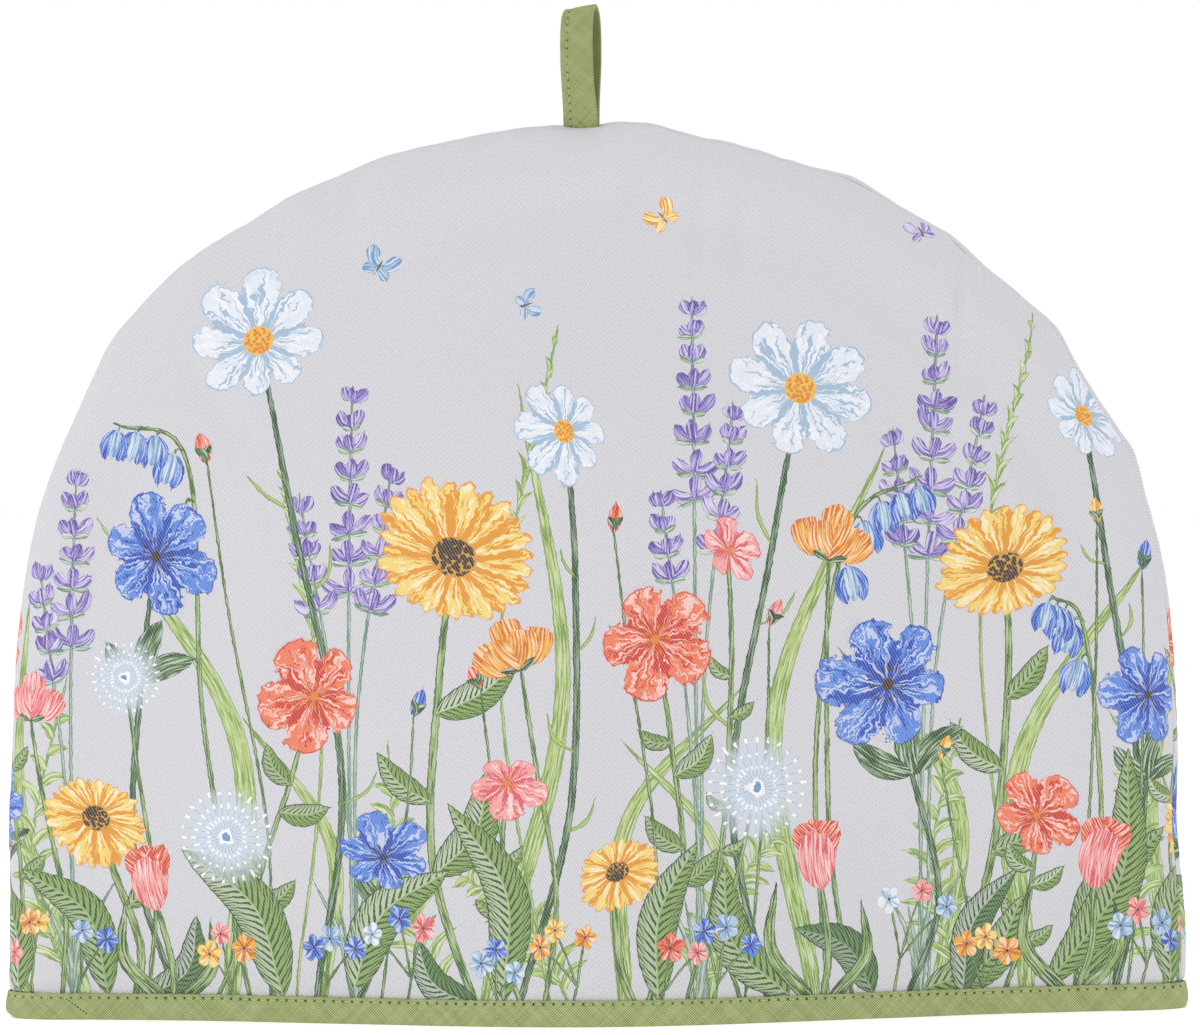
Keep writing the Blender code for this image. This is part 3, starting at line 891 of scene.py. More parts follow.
def bloom_place(motif, points):
    """The same for a bloom: its place is its own x and y, with its tips at 1."""
    x, h, size, turn, tilt, petals, lean, faces = motif[0]
    way = math.radians(faces)
    u, v = (points[:, 0] - x) / size, (points[:, 1] - h) / size
    off = v * math.cos(way) - u * math.sin(way)
    on = (u * math.cos(way) + v * math.sin(way)) / tilt
    longer = 1 + lean * on / np.maximum(np.hypot(off, on), 1e-6)
    off, on = off / longer, on / longer
    own_x = on * math.cos(turn) + off * math.sin(turn)
    own_y = off * math.cos(turn) - on * math.sin(turn)
    return (np.hypot(off, on) - 1) * size, np.array([own_x, own_y, np.full(len(u), petals)]).T


def print_bed(data, bed, place_of):
    """Gives the faces of the outer skin the places, shapes and looks of the bed's motifs. A face
    keeps those that it shows, in their order, and past the number of layers the nearest ones."""
    layers = BEDS[bed]
    corners = np.empty(len(data.loops), int)
    data.loops.foreach_get("vertex_index", corners)
    flat = np.empty(len(data.vertices) * 3)
    data.attributes["cloth"].data.foreach_get("vector", flat)
    flat = flat.reshape(-1, 3)[:, :2]
    corner = np.array([face.loop_start for face in data.polygons if face.material_index == 0])
    corner = corner[:, None] + np.arange(CORNERS)
    vertex = corners[corner]
    middle = flat[vertex].mean(1)
    faces = len(vertex)
    kept = np.zeros(faces, int)
    gaps = np.full((layers + 1, faces), -1.0)
    motif_of = np.full((layers + 1, faces), -1)
    places = np.zeros((layers + 1, faces, CORNERS, 3))
    places[:] = NOWHERE
    gap_at, place_at = np.zeros(len(flat)), np.zeros((len(flat), 3))
    for index, motif in enumerate(MOTIFS[bed]):
        line = np.atleast_2d(motif[0])[:, :2]
        room = MARGIN + (motif[1][0] * BLADE_ROOM if len(line) > 1 else motif[0][2] * BLOOM_ROOM)
        low, high = line.min(0) - room, line.max(0) + room
        near = np.flatnonzero(((flat > low - 2 * MARGIN) & (flat < high + 2 * MARGIN)).all(1))
        around = np.flatnonzero(((middle > low) & (middle < high)).all(1))
        if not len(around):
            continue
        gap_at[near], place_at[near] = place_of(motif, flat[near])
        gap = gap_at[vertex[around]]
        touched = gap.mean(1) < MARGIN
        here, gap = around[touched], gap[touched]
        hides = (gap.max(1) < -INSIDE) & (len(line) > 1)
        kept[here[hides]] = 0
        top = kept[here]
        gaps[top, here] = gap.mean(1)
        motif_of[top, here] = index
        places[top, here] = place_at[vertex[here]]
        kept[here] += 1
        full = here[kept[here] > layers]
        drop = gaps[:, full].argmax(0)
        for layer in range(layers):
            above = full[drop <= layer]
            for values in (gaps, motif_of, places):
                values[layer, above] = values[layer + 1, above]
        kept[full] = layers
    for layer in range(layers):
        shown = kept > layer
        rows = np.array([(*m[1], *m[2]) for m in MOTIFS[bed]])[motif_of[layer][shown]]
        place, shape, look = (np.zeros((len(corners), size)) for size in (3, 3, 4))
        place[:] = NOWHERE
        place[corner[shown]] = places[layer][shown]
        shape[corner[shown]] = rows[:, None, :3]
        look[corner[shown]] = rows[:, None, 3:]
        for suffix, kind, field, value in (
            ("place", "FLOAT_VECTOR", "vector", place), ("shape", "FLOAT_VECTOR", "vector", shape),
            ("look", "FLOAT_COLOR", "color", look),
        ):
            attribute = data.attributes.new(f"{bed}_{layer}_{suffix}", kind, "CORNER")
            attribute.data.foreach_set(field, value.ravel().astype(np.float32))


PLACES = {"back": blade_place, "blooms": bloom_place, "front": blade_place, "florets": bloom_place}
for piece in (front, back):
    for bed, place_of in PLACES.items():
        print_bed(piece.data, bed, place_of)


INK_STOPS = [colour for pair in INKS.values() for colour in pair]


def inked(finish, row, stroke):
    """The colour of an ink's row: its fill, or its stroke where stroke is 1."""
    place = (row * 2 + stroke + 0.5) / len(INK_STOPS)
    return finish.node("ShaderNodeValToRGB", {"color_ramp": INK_STOPS}, [place])[0]


def either(a, b):
    """The larger of two, so one mask or the other."""
    return a.of("MAXIMUM", b)


GLINT = ink(250, 249, 246)
LEAST_GLINT = 0.43  # brush strokes below this are light ones
PEN = 0.00022  # the outline's breadth
PEN_SHADED = 0.00014  # how much broader it is on a blade's left side
MIDRIB = 0.00035  # half its breadth, bare of veins
BLADE_BLUR = 0.00010  # how soft the ink's edge is
VEIN_SLANT = 1.2  # how far a vein runs on for each step out
BRUSH = (1900, 110)  # brush strokes to the metre, across a blade and along it
SEED_SHIFT = 900  # between the strokes of one motif and the next


def print_blades(finish, layer, ground, uneven):
    """Leaves, petals, stalks and buds: a pen line round a fill, with veins or brush strokes."""
    along, across, run = finish.split(finish.read(f"{layer}_place")[1])
    half, base, tip = finish.split(finish.read(f"{layer}_shape")[1])
    _, look, _, seed = finish.read(f"{layer}_look")
    row, veins, streaks = finish.split(look)
    beside = abs(across)
    edge = half * along**base * (1 - along) ** tip
    inside = edge - beside + uneven * 0.0007
    near_edge = beside / edge
    # Veins run out from the rib and on towards the tip, thick at the rib. Others start at the edge.
    veined = veins > 0.1
    place = (run - beside * VEIN_SLANT) * 1000 / either(veins, 0.1) + uneven * 0.35
    from_rib = place.of("FRACT") < (0.50 - near_edge * 0.42)
    from_edge = (place + 0.5).of("FRACT") < (near_edge - 0.5) * 0.9
    vein = either(from_rib * (beside > MIDRIB), from_edge) * veined
    lit = veined * (across + uneven * 0.0008 > 0) * (0.2 + seed * 0.5)
    outline = inside < (PEN + (across > 0) * PEN_SHADED) * (1 - (streaks > 0.8) * 0.5)
    strokes = finish.noise(across * BRUSH[0] + seed * SEED_SHIFT, run * BRUSH[1])
    streak = (strokes + abs(along - 0.5) * 0.22 > 0.60) * (streaks > 0.1)
    stroke = either(either(vein, outline), streak)
    glint = either((strokes < LEAST_GLINT) * streaks * 0.75, lit) * (1 - stroke)
    colour = finish.mix(glint * 0.6, inked(finish, row, stroke), GLINT)
    return finish.mix(inside / BLADE_BLUR + 0.5, ground, colour)


# A bloom's measures are shares of its size.
FEW = 9  # petals: fewer than this are broad ones that overlap
TIP_CHANCE = 0.12  # by which some petals are shorter
TIP_WAVER = 0.08
BACK_WHORL = (0.97, 0.30)  # its reach, and how much less that is where the petals are few
BLOOM_EDGE = 60  # steepness of the ink's edge
PETAL_GAP = 0.011  # the pen line between petals
GRAIN = 17.0  # grains of pollen across a bloom's half
STAMENS = 15
STAMEN_THREAD, STAMEN_HEAD = 0.018, 0.07  # half widths
POLLEN_RING, CONE_RING = ink(238, 186, 84), ink(214, 156, 64)
POLLEN, DARK_HEART = ink(222, 138, 36), ink(78, 62, 46)
FLUFF = ink(206, 215, 227)
TUFT_RINGS = 4.2


def off_line(place, count, uneven):
    """How far the nearest of a row of lines is, as a share of the way from one to the next."""
    line = place * count + uneven
    return abs(line.of("FRACT") - 0.5)


def print_blooms(finish, layer, cloth, uneven):
    """Open flowers: a whorl of petals behind, one in front, and a heart, or else a seed head."""
    x, y, petals = finish.split(finish.read(f"{layer}_place")[1])
    notch, point, size = finish.split(finish.read(f"{layer}_shape")[1])
    _, look, _, kind = finish.read(f"{layer}_look")
    row, heart, seed = finish.split(look)
    reach = (x * x + y * y) ** 0.5
    turn = y.of("ARCTAN2", x) / math.tau
    few = petals < FEW

    def whorl(offset, longest):
        """How far off its petal's middle a place is, how far inside the tip, and its strokes."""
        phase = turn * petals + offset + uneven * 0.3
        cell = phase.of("FLOOR")
        off_middle = (phase - cell - 0.5) * 2
        cell = cell.of("FLOORED_MODULO", petals)
        shorter = finish.luck(cell + seed) * TIP_CHANCE
        tip = longest - shorter - notch * abs(off_middle) ** point + uneven * TIP_WAVER
        lines = off_middle * size / petals * 2.0 + cell * 23.7 + seed * SEED_SHIFT
        return off_middle, tip - reach, finish.noise(lines, reach * size * 0.10)

    # The whorl behind shows between the petals in front, in its strokes' ink for the most part.
    _, within, strokes = whorl(0.0, BACK_WHORL[0] - few * BACK_WHORL[1])
    stroke = either(strokes + (0.62 - reach) * 0.25 > 0.44, within < 0.03)
    drawn = finish.mix(within * BLOOM_EDGE + 0.5, cloth, inked(finish, row, stroke))
    off_middle, within, strokes = whorl(0.5, 1.0)
    between = (1 - abs(off_middle)) * reach / petals < PETAL_GAP
    overlap = (off_middle - 0.35) * few * 0.22
    stroke = strokes + (0.50 - reach) * 0.30 + either(off_middle * 0.05, overlap) > 0.57
    stroke = either(stroke, either(between, within < 0.026))
    glint = (strokes < LEAST_GLINT) * (1 - stroke) * 0.5
    colour = finish.mix(glint, inked(finish, row, stroke), GLINT)
    drawn = finish.mix(within * BLOOM_EDGE + 0.5, drawn, colour)
    # The heart: grains of pollen, on a coneflower packed on a dark cone, or a ring of stamens.
    grains = {"Vector": finish.join(x, y), "Scale": GRAIN}
    grains = finish.node("ShaderNodeTexVoronoi", {"voronoi_dimensions": "2D"}, grains)[0]
    cone = kind > 3.5
    pollen = (heart + uneven * 0.05 > reach) * (grains + x * 0.4 < 0.42 + cone * 0.14)
    spoke = off_line(turn, STAMENS, uneven * 0.8) * reach * 2
    thread = (spoke < STAMEN_THREAD) * (heart * 1.2 > reach)
    head = (spoke < STAMEN_HEAD) * (abs(reach - heart * 1.15 + uneven * 0.12) < 0.035)
    starry = abs(kind - 1.5) < 1.0
    stamens = either(either(thread, head), heart * 0.4 > reach)
    centre = pollen + (stamens - pollen) * starry
    ringed = (heart + 0.02 > reach) * (1 - starry)
    drawn = finish.mix(ringed, drawn, finish.mix(cone, POLLEN_RING, CONE_RING))
    drawn = finish.mix(centre, drawn, finish.mix(kind > 1.5, POLLEN, DARK_HEART))
    # A seed head: pale fluff, fine rays, and rings of tufts.
    ray = off_line(turn, petals, 0.0) * reach * 0.48
    ring = off_line(reach, TUFT_RINGS, uneven * 0.9) < 0.16
    tufts = (ray < 0.020 + reach * 0.034) * ring * (reach < 1.0)
    rays = either((ray < 0.007) * (reach < 0.9), reach < heart)
    fluff = finish.mix((1 - reach + uneven * 0.3) * 1.8, cloth, FLUFF)
    seed_head = finish.mix(tufts, finish.mix(rays, fluff, inked(finish, row, 1)), GLINT)
    return finish.mix(abs(kind - 3) < 0.5, drawn, seed_head)


WAVER = 420  # waves to the metre in the hand-drawn lines
INK_ON_RIBS = 0.26  # how much of the cotton shows through on the ribs, where the ink lies thinner
printed, u, v, rib = cotton("printed_cotton")
# The hollows between the ribs are darker: painted shade.
colour = printed.mix(rib, *COTTON)
wavy = printed.noise(u * WAVER, v * WAVER) - 0.5
for bed, layers in BEDS.items():
    draw = print_blades if PLACES[bed] is blade_place else print_blooms
    for layer in range(layers):
        colour = draw(printed, f"{bed}_{layer}", colour, wavy)
printed.feed("Base Color", printed.mix(rib**4.0 * INK_ON_RIBS, colour, COTTON[1]))

for piece, node in ((front, "front_panel"), (back, "back_panel")):
    piece.data.materials.append(printed.material)
    piece.data.materials.append(plain.material)
    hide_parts(node)
    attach(piece, "root")

# ---------------------------------------------------------------------------------------------
# Hem binding: one strip of cotton bias tape, plain weave, folded over the raw edges of both
# panels and sewn through a millimetre below its upper folds. Its ends meet in a slanting join
# at the front left, and it is bunched a little where it rounds the two side seams.

HEM_STEPS = 1120
TAPE_HALF_SECTION = (  # from the middle of the wall mm, height mm
    (0.00, 0.95), (1.30, 0.97), (1.72, 1.25), (1.86, 2.0), (1.84, 4.0), (1.84, 6.0), (1.84, 7.3),
    (1.92, 7.68), (2.15, 7.88), (2.45, 7.88), (2.68, 7.70), (2.80, 7.42), (2.85, 7.15),
    (2.86, 6.90), (2.86, 6.65), (2.88, 6.40), (2.92, 6.10), (2.98, 5.5), (3.03, 4.6), (3.05, 3.7),
    (3.04, 2.8), (3.00, 2.0), (2.92, 1.3), (2.74, 0.70), (2.45, 0.28), (2.05, 0.06), (1.50, 0.0),
    (0.75, 0.0), (0.00, 0.0),
)
WALL_MIDDLE = -0.0015  # out from the panels' pressed skin
OUTER_FACE = 0.0024  # further out than this from the wall's middle is the tape's outer face
STITCH_LENGTH = 0.0029  # or so: a whole number of them goes round the hem
STITCH_HEIGHT = 0.0068
STITCH_STRAYS = 0.00022
STITCH_PULL = 0.00022  # how far each stitch draws the tape in
PULL_REACH = (0.0008, 0.0005)  # along the tape and up it
UPPER_PART = (0.005, 0.0029)  # from this height, and over this run, the tape's edge wavers
EDGE_WAVERS = 0.00018
SCALLOP = 0.00010
FULLNESS_WAVERS = 0.03
TAPE_FLARE = 0.0005  # the tape's foot stands out where it rounds the side seams
FLARE_ENDS = (0.168, 0.009)  # from this far off the middle, and over this run
HEM_HEIGHT = 0.008
JOIN = (-0.1589, 0.0066, -0.1526, 0.0018)  # the slanting join: from x, height to x, height
LEFT_END, RIGHT_END = -0.1775, 0.1777
LEFT_CORNER = (0.0030, 0.0013)  # pressed up at the left end: width and height
RIGHT_CORNER = 0.0019  # rounded at the right end
CORNER_TOP = (0.0075, 0.004)  # the corners' lift ends at this height, and fades over this run


def hem_skin(turns, out):
    """Points once round the hem, turns from 0 to 2 from its left end, out from the pressed skin."""
    across = np.where(turns <= 1, turns, 2 - turns)
    angle = np.where(across < 0.5, math.pi, 0.0)
    points = np.empty((len(turns), 3))
    for side, here in ((-1, turns <= 1), (1, turns > 1)):
        under = TAPE + TAPE_LIFT - out[here]
        points[here] = skin(angle[here], abs(2 * across[here] - 1), side, under, groove=0.0)[0]
    return points


even_turns = np.linspace(0, 2, 4001)
hem_line = hem_skin(even_turns, np.zeros(len(even_turns)))
hem_run = np.concatenate([[0], np.cumsum(np.hypot(*np.diff(hem_line[:, :2], axis=0).T))])
HEM_LENGTH = hem_run[-1]
STITCHES = round(HEM_LENGTH / STITCH_LENGTH)
STITCH = HEM_LENGTH / STITCHES


def waver(run, seed, size):
    """Slow unevenness along the hem, the same at both ends of the run."""
    chance = random.Random(seed)
    wave = np.zeros(len(run))
    for count in (2, 3, 5, 8, 13, 21, 34):
        share = chance.uniform(0.4, 1.0) / count**0.5
        wave += share * np.sin(run / HEM_LENGTH * math.tau * count + chance.uniform(0, math.tau))
    return wave * size / 1.6


def to_hole(run):
    """How far along the hem the nearest needle hole lies."""
    return (run / STITCH - np.round(run / STITCH)) * STITCH


def tape_place(run, out, height):
    """A point of the tape, from its place along the hem, out from the wall's middle, and its
    height, and how far it is from the stitches' line."""
    inner = out < 0
    outer = np.abs(out) > OUTER_FACE
    stitch_height = STITCH_HEIGHT + waver(run, 21, STITCH_STRAYS) * np.where(inner, -1, 1)
    upper = np.clip((height - UPPER_PART[0]) / UPPER_PART[1], 0, 1)
    scallop = SCALLOP * np.cos(to_hole(run) / STITCH * math.tau)
    lifted = height + upper * (waver(run, 22, EDGE_WAVERS) - scallop)
    hole = np.exp(-((to_hole(run) / PULL_REACH[0]) ** 2))
    row = np.exp(-(((height - stitch_height) / PULL_REACH[1]) ** 2))
    pull = STITCH_PULL * (0.45 + 0.55 * hole) * row
    fullness = 1 + outer * waver(run, 23, FULLNESS_WAVERS) * (1 - upper)
    out = out * fullness - np.sign(out) * outer * pull
    turns = np.interp(run, hem_run, even_turns)
    point = hem_skin(turns, out + WALL_MIDDLE)
    x = point[:, 0]
    foot = 1 - height / HEM_HEIGHT
    point[:, 0] += np.sign(x) * TAPE_FLARE * fade(abs(x) - FLARE_ENDS[0], FLARE_ENDS[1]) * foot
    left, right = LEFT_END - x, x - RIGHT_END
    pressed = LEFT_CORNER[1] * np.clip(left / LEFT_CORNER[0] + 1, 0, 1)
    bend = np.clip(right + RIGHT_CORNER, 0, 0.98 * RIGHT_CORNER)
    rounded = RIGHT_CORNER - np.sqrt(RIGHT_CORNER**2 - bend**2)
    point[:, 2] = lifted + (pressed + rounded) * foot * fade(CORNER_TOP[0] - height, CORNER_TOP[1])
    return point, (height - stitch_height) * np.where(outer, 1, 9)


def tape_ring():
    """The whole section, from the wall's middle under the raw edge up the front leg and back."""
    half = np.array(TAPE_HALF_SECTION) / 1000
    return np.concatenate([half, half[-2:0:-1] * (-1, 1)])


def swept(mesh, columns, ring, place):
    """A closed ring carried along the columns: place(column, ring's own rows) gives the points and what
    each carries. The grid's last row lands on the first, and so does its last column where the sweep
    goes all the way round; the caller sews them."""
    rows = len(ring)
    made = bmesh.ops.create_grid(mesh, x_segments=columns, y_segments=rows, size=0.5)["verts"]
    across, up, _ = (np.array([v.co for v in made]) + 0.5).T
    column, row = np.round(across * columns).astype(int), np.round(up * rows).astype(int)
    points, carried = place(column, row)
    layer = mesh.loops.layers.float_vector["cloth"]
    for vertex, at, value in zip(made, points, carried):
        vertex.co = at
        for loop in vertex.link_loops:
            loop[layer] = value


def make_hem_tape():
    mesh = bmesh.new()
    mesh.loops.layers.float_vector.new("cloth")
    ring = tape_ring()
    closed = np.concatenate([ring, ring[:1]])
    around = np.concatenate([[0], np.cumsum(np.hypot(*np.diff(closed, axis=0).T))])

    def place(column, row):
        run = column / HEM_STEPS * HEM_LENGTH
        out, height = closed[row].T
        points, from_stitch = tape_place(run, out, height)
        return points, np.array([run, around[row], from_stitch]).T

    swept(mesh, HEM_STEPS, ring, place)
    bmesh.ops.remove_doubles(mesh, verts=mesh.verts, dist=1e-6)
    return finished(mesh, "hem_tape")


THREAD = 0.00020  # half its thickness
THREAD_LIFT = 0.00012  # a stitch's middle stands this far off the tape
THREAD_SHOWS = 0.92  # of a stitch's length, between its two ends in the cloth
STITCH_FACE = 0.00286  # the tape's outer faces at the stitches, from the wall's middle
NUDGE = 0.001  # a step outwards, to find which way that is

thread = bpy.data.meshes.new("thread")
thread_mesh = bmesh.new()
bmesh.ops.create_uvsphere(thread_mesh, u_segments=6, v_segments=7, radius=1)
thread_mesh.to_mesh(thread)
thread_mesh.free()


def lay_thread(mesh, start, end, lift):
    """One stitch: a thread from hole to hole, its two ends down in the cloth."""
    middle, along = (start + end) / 2 + lift, end - start
    turn = along.to_track_quat("Z", "Y").to_matrix().to_4x4()
    size = Matrix.Diagonal((THREAD, THREAD, along.length * THREAD_SHOWS / 2, 1))
    stitch = thread.copy()
    stitch.transform(Matrix.Translation(middle) @ turn @ size)
    mesh.from_mesh(stitch)
    bpy.data.meshes.remove(stitch)


def make_hem_stitches():
    mesh = bmesh.new()
    holes = np.arange(STITCHES + 1) * STITCH % HEM_LENGTH
    alike = np.ones(len(holes))
    for side in (1, -1):
        points, off = tape_place(holes, alike * STITCH_FACE * side, alike * STITCH_HEIGHT)
        heights = points[:, 2] - off
        far = tape_place(holes, alike * (STITCH_FACE + NUDGE) * side, heights)[0]
        for index in range(STITCHES):
            ends = [Vector((*points[at, :2], heights[at])) for at in (index, index + 1)]
            outward = Vector((far[index] - points[index])[:2].tolist() + [0]).normalized()
            lay_thread(mesh, *ends, outward * THREAD_LIFT)
    return finished(mesh, "hem_stitches")


WEAVE_PITCH = 0.00080  # along the tape, from thread to thread
WEAVE_WAVERS = 260  # waves to the metre in its threads
WEAVE_SHIFT = 377.0  # between the waves of the two ways
CLOUDS = 180  # faint clouds to the metre in the tape's green
HOLE = (0.00056, 0.00034)  # half its length along the tape, and half its height
HOLE_RUNS = 22  # to the metre: runs of darker and paler holes
JOIN_STITCH = 0.00105
JOIN_SHOWS = 0.62  # of each of its stitches
JOIN_LINE = 0.00013  # half its breadth
SHADE_IN_LOOP = 0.34
TAPE_BUMP = 0.00016
# Painted shade in the needle holes, and the dark of the join's stitches; painted shade inside the loop.
IN_HOLE, IN_SHADE = ink(46, 62, 30), ink(60, 72, 26)


def bias_weave(finish, u, v):
    """A plain weave whose threads run both ways at 45 degrees to the tape: its height, and how
    thick the upper thread is."""
    waves, thick = [], []
    for way, across in enumerate((u + v, u - v)):
        wobble = finish.noise(u * WEAVE_WAVERS + way * WEAVE_SHIFT, v * WEAVE_WAVERS)
        threads = across / WEAVE_PITCH + wobble * 0.5
        waves.append((threads * math.pi).of("SINE"))
        thick.append(finish.luck(threads.of("FLOOR")))
    over = waves[0] * waves[1] * 0.5 + 0.5
    height = abs(waves[0]) * over + abs(waves[1]) * (1 - over)
    return height, thick[0] * over + thick[1] * (1 - over)


def tape_finish(name, pitch, shades, join=None):
    """Green cotton tape, the hollows of its weave darker as painted shade. The needle holes are painted
    dark, as shade where the thread draws the weave apart. Inside a loop it is painted in the shade, and
    a join shows as a slanting row of dark stitches."""
    finish = Finish(name, 0.88, Sheen_Weight=0.06, Specular_IOR_Level=0.25)
    u, v, from_stitch = finish.split(finish.read("cloth")[1])
    height, thick = bias_weave(finish, u, v)
    cloudy = finish.noise(u * CLOUDS, v * CLOUDS, 3.0)
    # The threads' tops are lighter and the hollows between them darker, as painted shade; thick and
    # cloudy are the yarns' own uneven tone.
    tone = height * 1.5 + thick * 0.35 + cloudy * 0.35 - 0.75
    colour = finish.mix(tone, *shades)
    hole = u / pitch
    hole = (hole - hole.of("ROUND")) * pitch
    spot = (hole / HOLE[0]) ** 2.0 + (from_stitch / HOLE[1]) ** 2.0 + cloudy * 1.2 - 0.6
    drawn_open = finish.noise(u * HOLE_RUNS, 0.0) * 2.2 - 0.35
    # Painted shade in the needle holes, deeper in some runs of holes than in others; the join's dark
    # stitches are added below.
    dark = either(1.6 - spot, 0.0) * drawn_open
    if join:
        x, y, z = finish.split(finish.node("ShaderNodeTexCoord")[3])
        length = math.dist(join[:2], join[2:])
        step_x, step_z = (join[2] - join[0]) / length, (join[3] - join[1]) / length
        along = (x - join[0]) * step_x + (z - join[1]) * step_z
        off = abs((x - join[0]) * step_z - (z - join[1]) * step_x) < cloudy * 0.0001 + JOIN_LINE
        inside = (abs(along - length / 2) < length / 2) * (y < 0)
        dots = ((along / JOIN_STITCH).of("FRACT") < JOIN_SHOWS) * off * inside
        dark = either(dark, dots * 0.8)
    colour = finish.mix(dark, colour, IN_HOLE)
    shade = finish.read("shade")[2]
    finish.feed("Base Color", finish.mix(shade * SHADE_IN_LOOP, colour, IN_SHADE))
    finish.bump(height * 0.6 + thick * 0.3 + cloudy * 0.5 - dark * 0.8, TAPE_BUMP)
    return finish


hem_tape = make_hem_tape()
hem_stitches = make_hem_stitches()
hem_finish = tape_finish("green_tape", STITCH, (ink(108, 122, 68), ink(192, 200, 146)), JOIN)
thread_finish = Finish("green_thread", 0.7, Base_Color=ink(178, 190, 120))
hem_tape.data.materials.append(hem_finish.material)
hem_stitches.data.materials.append(thread_finish.material)
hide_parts("hem_binding")
for piece in (hem_tape, hem_stitches):
    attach(piece, "root")

# ---------------------------------------------------------------------------------------------
# Hanging loop: a strip of the same tape folded to 10 mm, stitched shut near its left edge, bent
# double and caught in the arch seam. It is turned a little, so the far half shows on the right.

LOOP_LEG = (  # height mm, out from the middle mm, for the near half's outer face
    (-3, 1.5), (0, 1.6), (5, 2.5), (11, 4.5), (18, 5.9), (25, 6.1), (31, 5.0), (34, 2.8), (35.2, 0),
)
LOOP_SECTION = (  # across mm, in from the outer face mm
    (5.00, 0.65), (4.93, 0.30), (4.70, 0.06), (4.2, 0.0), (3.0, -0.06), (1.5, -0.08), (0.0, -0.06),
    (-1.4, 0.0), (-2.2, 0.10), (-2.7, 0.18), (-2.9, 0.18), (-3.3, 0.10), (-4.0, 0.02), (-4.6, 0.06),
    (-4.92, 0.28), (-5.00, 0.60), (-4.92, 1.0), (-4.6, 1.22), (-4.0, 1.26), (-3.3, 1.18),
    (-2.9, 1.10), (-2.7, 1.10), (-2.2, 1.18), (-1.4, 1.28), (0.0, 1.34), (1.5, 1.36), (3.0, 1.34),
    (4.2, 1.30), (4.70, 1.22), (4.93, 1.0),
)
LOOP_STEPS = 150
LOOP_STITCH = 0.0024
LOOP_STITCH_LINE = -0.0028  # across the tape
LOOP_X = -0.0026
LOOP_YAW = math.radians(14)
LOOP_SPREAD = (0.065, 0.012)  # wider at its foot, and over this height
LOOP_SLOPE = (0.06, 0.155)  # the left edge stands lower: at the foot and at the top
LOOP_HEIGHT = 0.036
LOOP_FOOT = DOME_BOTTOM + arch_radius(math.pi / 2) - GROOVE
LOOP_THREADS = ((0.00018, -0.0001), (0.00112, 0.0001))  # in from the outer face, and which way out


def loop_line(steps):
    """The tape's outer face along its middle: out from the loop's plane, height, the slopes of
    both, and the run."""
    heights, halves = np.array(LOOP_LEG, float).T / 1000
    last = len(LOOP_LEG) - 1
    rows = np.arange(2 * last + 1)
    depths = np.concatenate([-halves, halves[-2::-1]])
    rises = heights[np.minimum(rows, 2 * last - rows)]
    at = np.linspace(0, 2 * last, steps)
    depth, rise = (smooth_curve(at, list(zip(rows, values))) for values in (depths, rises))
    run = np.concatenate([[0], np.cumsum(np.hypot(np.diff(depth), np.diff(rise)))])
    even = np.linspace(0, run[-1], steps)
    depth, rise = np.interp(even, run, depth), np.interp(even, run, rise)
    return depth, rise, np.gradient(depth, even), np.gradient(rise, even), even


def loop_point(line, side, inward):
    """Points of the tape: side is how far to the right of its middle, inward from its outer face."""
    depth, rise, depth_slope, rise_slope, _ = line
    depth, rise = depth + inward * rise_slope, rise - inward * depth_slope
    side = side * (1 + LOOP_SPREAD[0] * (1 - fade(rise, LOOP_SPREAD[1])))
    slope = np.interp(rise, (0, LOOP_HEIGHT), LOOP_SLOPE)
    x = LOOP_X + side * math.cos(LOOP_YAW) + depth * math.sin(LOOP_YAW)
    y = depth * math.cos(LOOP_YAW) - side * math.sin(LOOP_YAW)
    return np.array([x, y, LOOP_FOOT + rise + side * slope]).T


def make_loop_tape():
    mesh = bmesh.new()
    mesh.loops.layers.float_vector.new("cloth")
    section = np.array(LOOP_SECTION) / 1000
    closed = np.concatenate([section, section[:1]])
    line = loop_line(LOOP_STEPS + 1)

    def place(column, row):
        side, inward = closed[row].T
        points = loop_point([values[column] for values in line], side, inward)
        return points, np.array([line[4][column], side, side - LOOP_STITCH_LINE]).T

    swept(mesh, LOOP_STEPS, section, place)
    bmesh.ops.remove_doubles(mesh, verts=mesh.verts, dist=1e-6)
    bmesh.ops.holes_fill(mesh, edges=mesh.edges)
    return finished(mesh, "loop_tape")


def shade_inside(tape):
    """Marks the inner face of the loop, which lies in its own shade."""
    middle = Vector((LOOP_X, 0, LOOP_FOOT + LOOP_HEIGHT / 2))
    shade = tape.data.attributes.new("shade", "FLOAT", "POINT")
    for vertex, mark in zip(tape.data.vertices, shade.data):
        inward = (middle - vertex.co).normalized().dot(vertex.normal)
        mark.value = min(max(3 * inward, 0), 1)


def make_loop_stitches():
    mesh = bmesh.new()
    tape = loop_line(LOOP_STEPS + 1)
    run = tape[-1]
    holes = int(run[-1] / LOOP_STITCH)
    line = [np.interp(np.arange(holes) * LOOP_STITCH, run, values) for values in tape]
    side = np.full(holes, LOOP_STITCH_LINE)
    for inward, lift in LOOP_THREADS:
        near, far = (loop_point(line, side, np.full(holes, inward + out)) for out in (0.0, lift))
        for index in range(holes - 1):
            ends = [Vector(near[at]) for at in (index, index + 1)]
            lay_thread(mesh, *ends, Vector(far[index] - near[index]))
    return finished(mesh, "loop_stitches")


loop_tape = make_loop_tape()
shade_inside(loop_tape)
loop_stitches = make_loop_stitches()
loop_finish = tape_finish("green_loop_tape", LOOP_STITCH, (ink(98, 110, 58), ink(182, 190, 134)))
loop_tape.data.materials.append(loop_finish.material)
loop_stitches.data.materials.append(thread_finish.material)
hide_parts("top_loop")
for piece in (loop_tape, loop_stitches):
    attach(piece, "root")

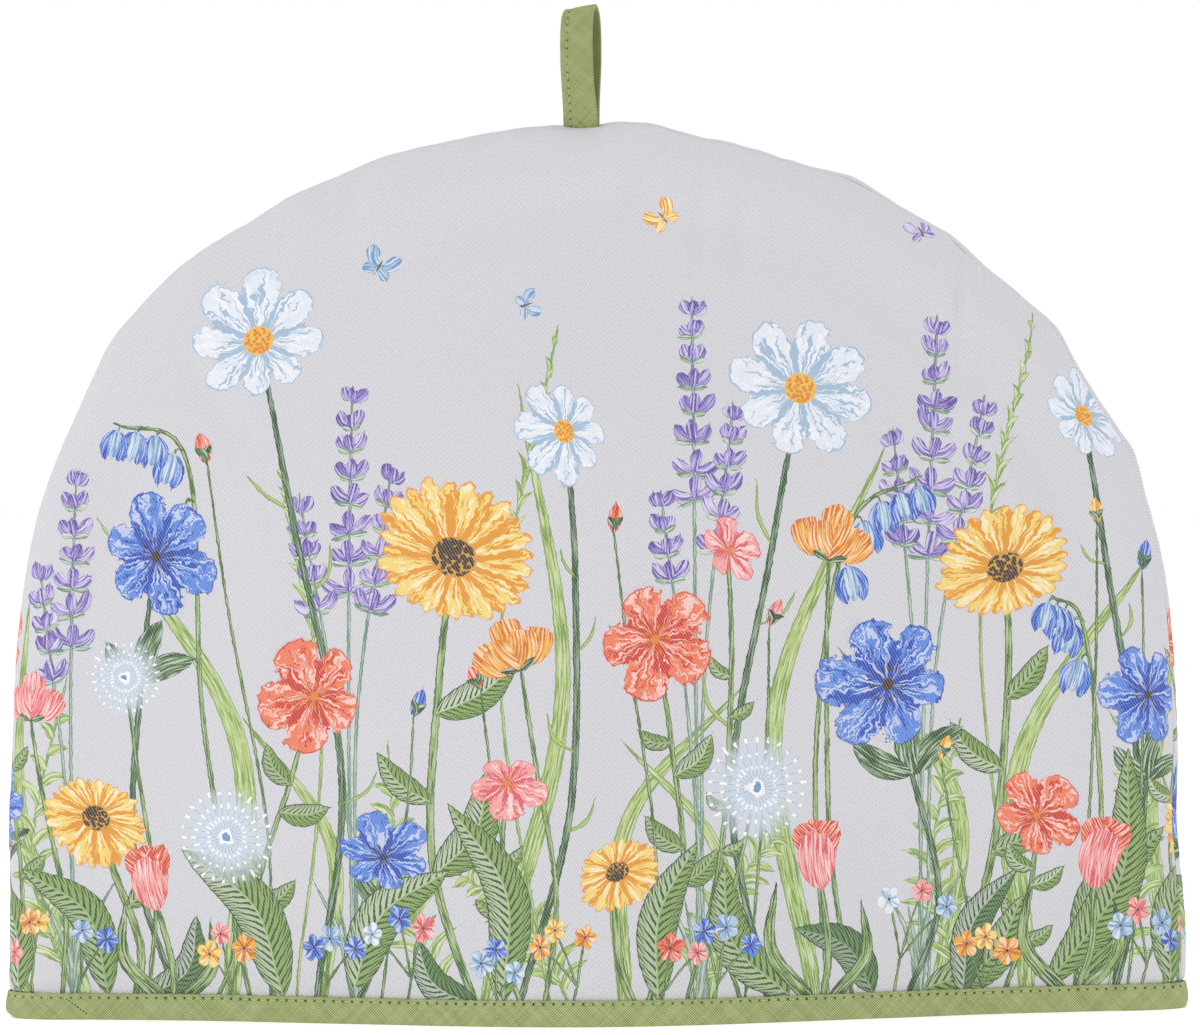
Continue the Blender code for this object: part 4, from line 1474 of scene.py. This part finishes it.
# ---------------------------------------------------------------------------------------------
# Studio: a pale floor in a white room, one soft light above, in front and to the left, and three
# behind the seam's plane for the rolled edges. The camera is nearly level with the middle of the
# cosy, as far off as the sag of its hem in the picture asks.

ROOM_LIGHT = 0.66
FLOOR_GLOW = 0.39  # keeps the floor as white as the room
LIT_POINT = (0, 0, 0.13)  # the middle of the cosy, which the lights face

floor_mesh = bmesh.new()
bmesh.ops.create_circle(floor_mesh, cap_ends=True, segments=96, radius=6.0)
floor = finished(floor_mesh, "floor")
floor_finish = Finish(
    "pale_floor", 0.9,
    Base_Color=(0.9, 0.9, 0.9, 1), Emission_Color=(1, 1, 1, 1), Emission_Strength=FLOOR_GLOW,
)
floor.data.materials.append(floor_finish.material)

world = bpy.data.worlds.new("white_room")
bpy.context.scene.world = world
world.use_nodes = True
room = world.node_tree
seen = room.nodes.new("ShaderNodeLightPath").outputs["Is Camera Ray"]
strength = room.nodes.new("ShaderNodeMapRange")
room.links.new(seen, strength.inputs["Value"])
strength.inputs["To Min"].default_value = ROOM_LIGHT
strength.inputs["To Max"].default_value = 1.0
room.nodes["Background"].inputs["Color"].default_value = (1, 1, 1, 1)
room.links.new(strength.outputs["Result"], room.nodes["Background"].inputs["Strength"])


def soft_light(name, place, size, power):
    light = bpy.data.lights.new(name, "AREA")
    light.shape, light.size, light.energy = "DISK", size, power
    lamp = bpy.data.objects.new(name, light)
    lamp.location = place
    lamp.rotation_euler = (Vector(LIT_POINT) - Vector(place)).to_track_quat("-Z", "Y").to_euler()
    bpy.context.scene.collection.objects.link(lamp)


for name, place, size, power in (
    ("key", (-1.0, -1.5, 1.8), 1.2, 14), ("above", (0.0, 0.4, 2.5), 1.0, 6),
    ("left_rim", (-2.0, 0.5, 1.1), 1.0, 4), ("right_rim", (2.0, 0.5, 1.1), 1.0, 8),
):
    soft_light(name, place, size, power)

VIEW_DISTANCE = 1.8
VIEW_WIDTH = 0.360  # of the picture, at the seam's plane
VIEW_MIDDLE = (0.00195, 0.1486)  # x and height at the picture's middle
VIEW_ELEVATION = math.radians(1.6)
VIEW_ROLL = math.radians(-0.48)
SENSOR = 36
camera_data = bpy.data.cameras.new("camera")
camera_data.sensor_width = SENSOR
camera_data.lens = SENSOR * VIEW_DISTANCE / VIEW_WIDTH
camera = bpy.data.objects.new("camera", camera_data)
bpy.context.scene.collection.objects.link(camera)
camera.matrix_world = (
    Matrix.Translation((VIEW_MIDDLE[0], 0, VIEW_MIDDLE[1]))
    @ Matrix.Rotation(-VIEW_ELEVATION, 4, "X")
    @ Matrix.Translation((0, -VIEW_DISTANCE, 0))
    @ Matrix.Rotation(math.pi / 2, 4, "X")
    @ Matrix.Rotation(VIEW_ROLL, 4, "Z")
)
bpy.context.scene.camera = camera
bpy.context.scene.view_settings.view_transform = "Standard"
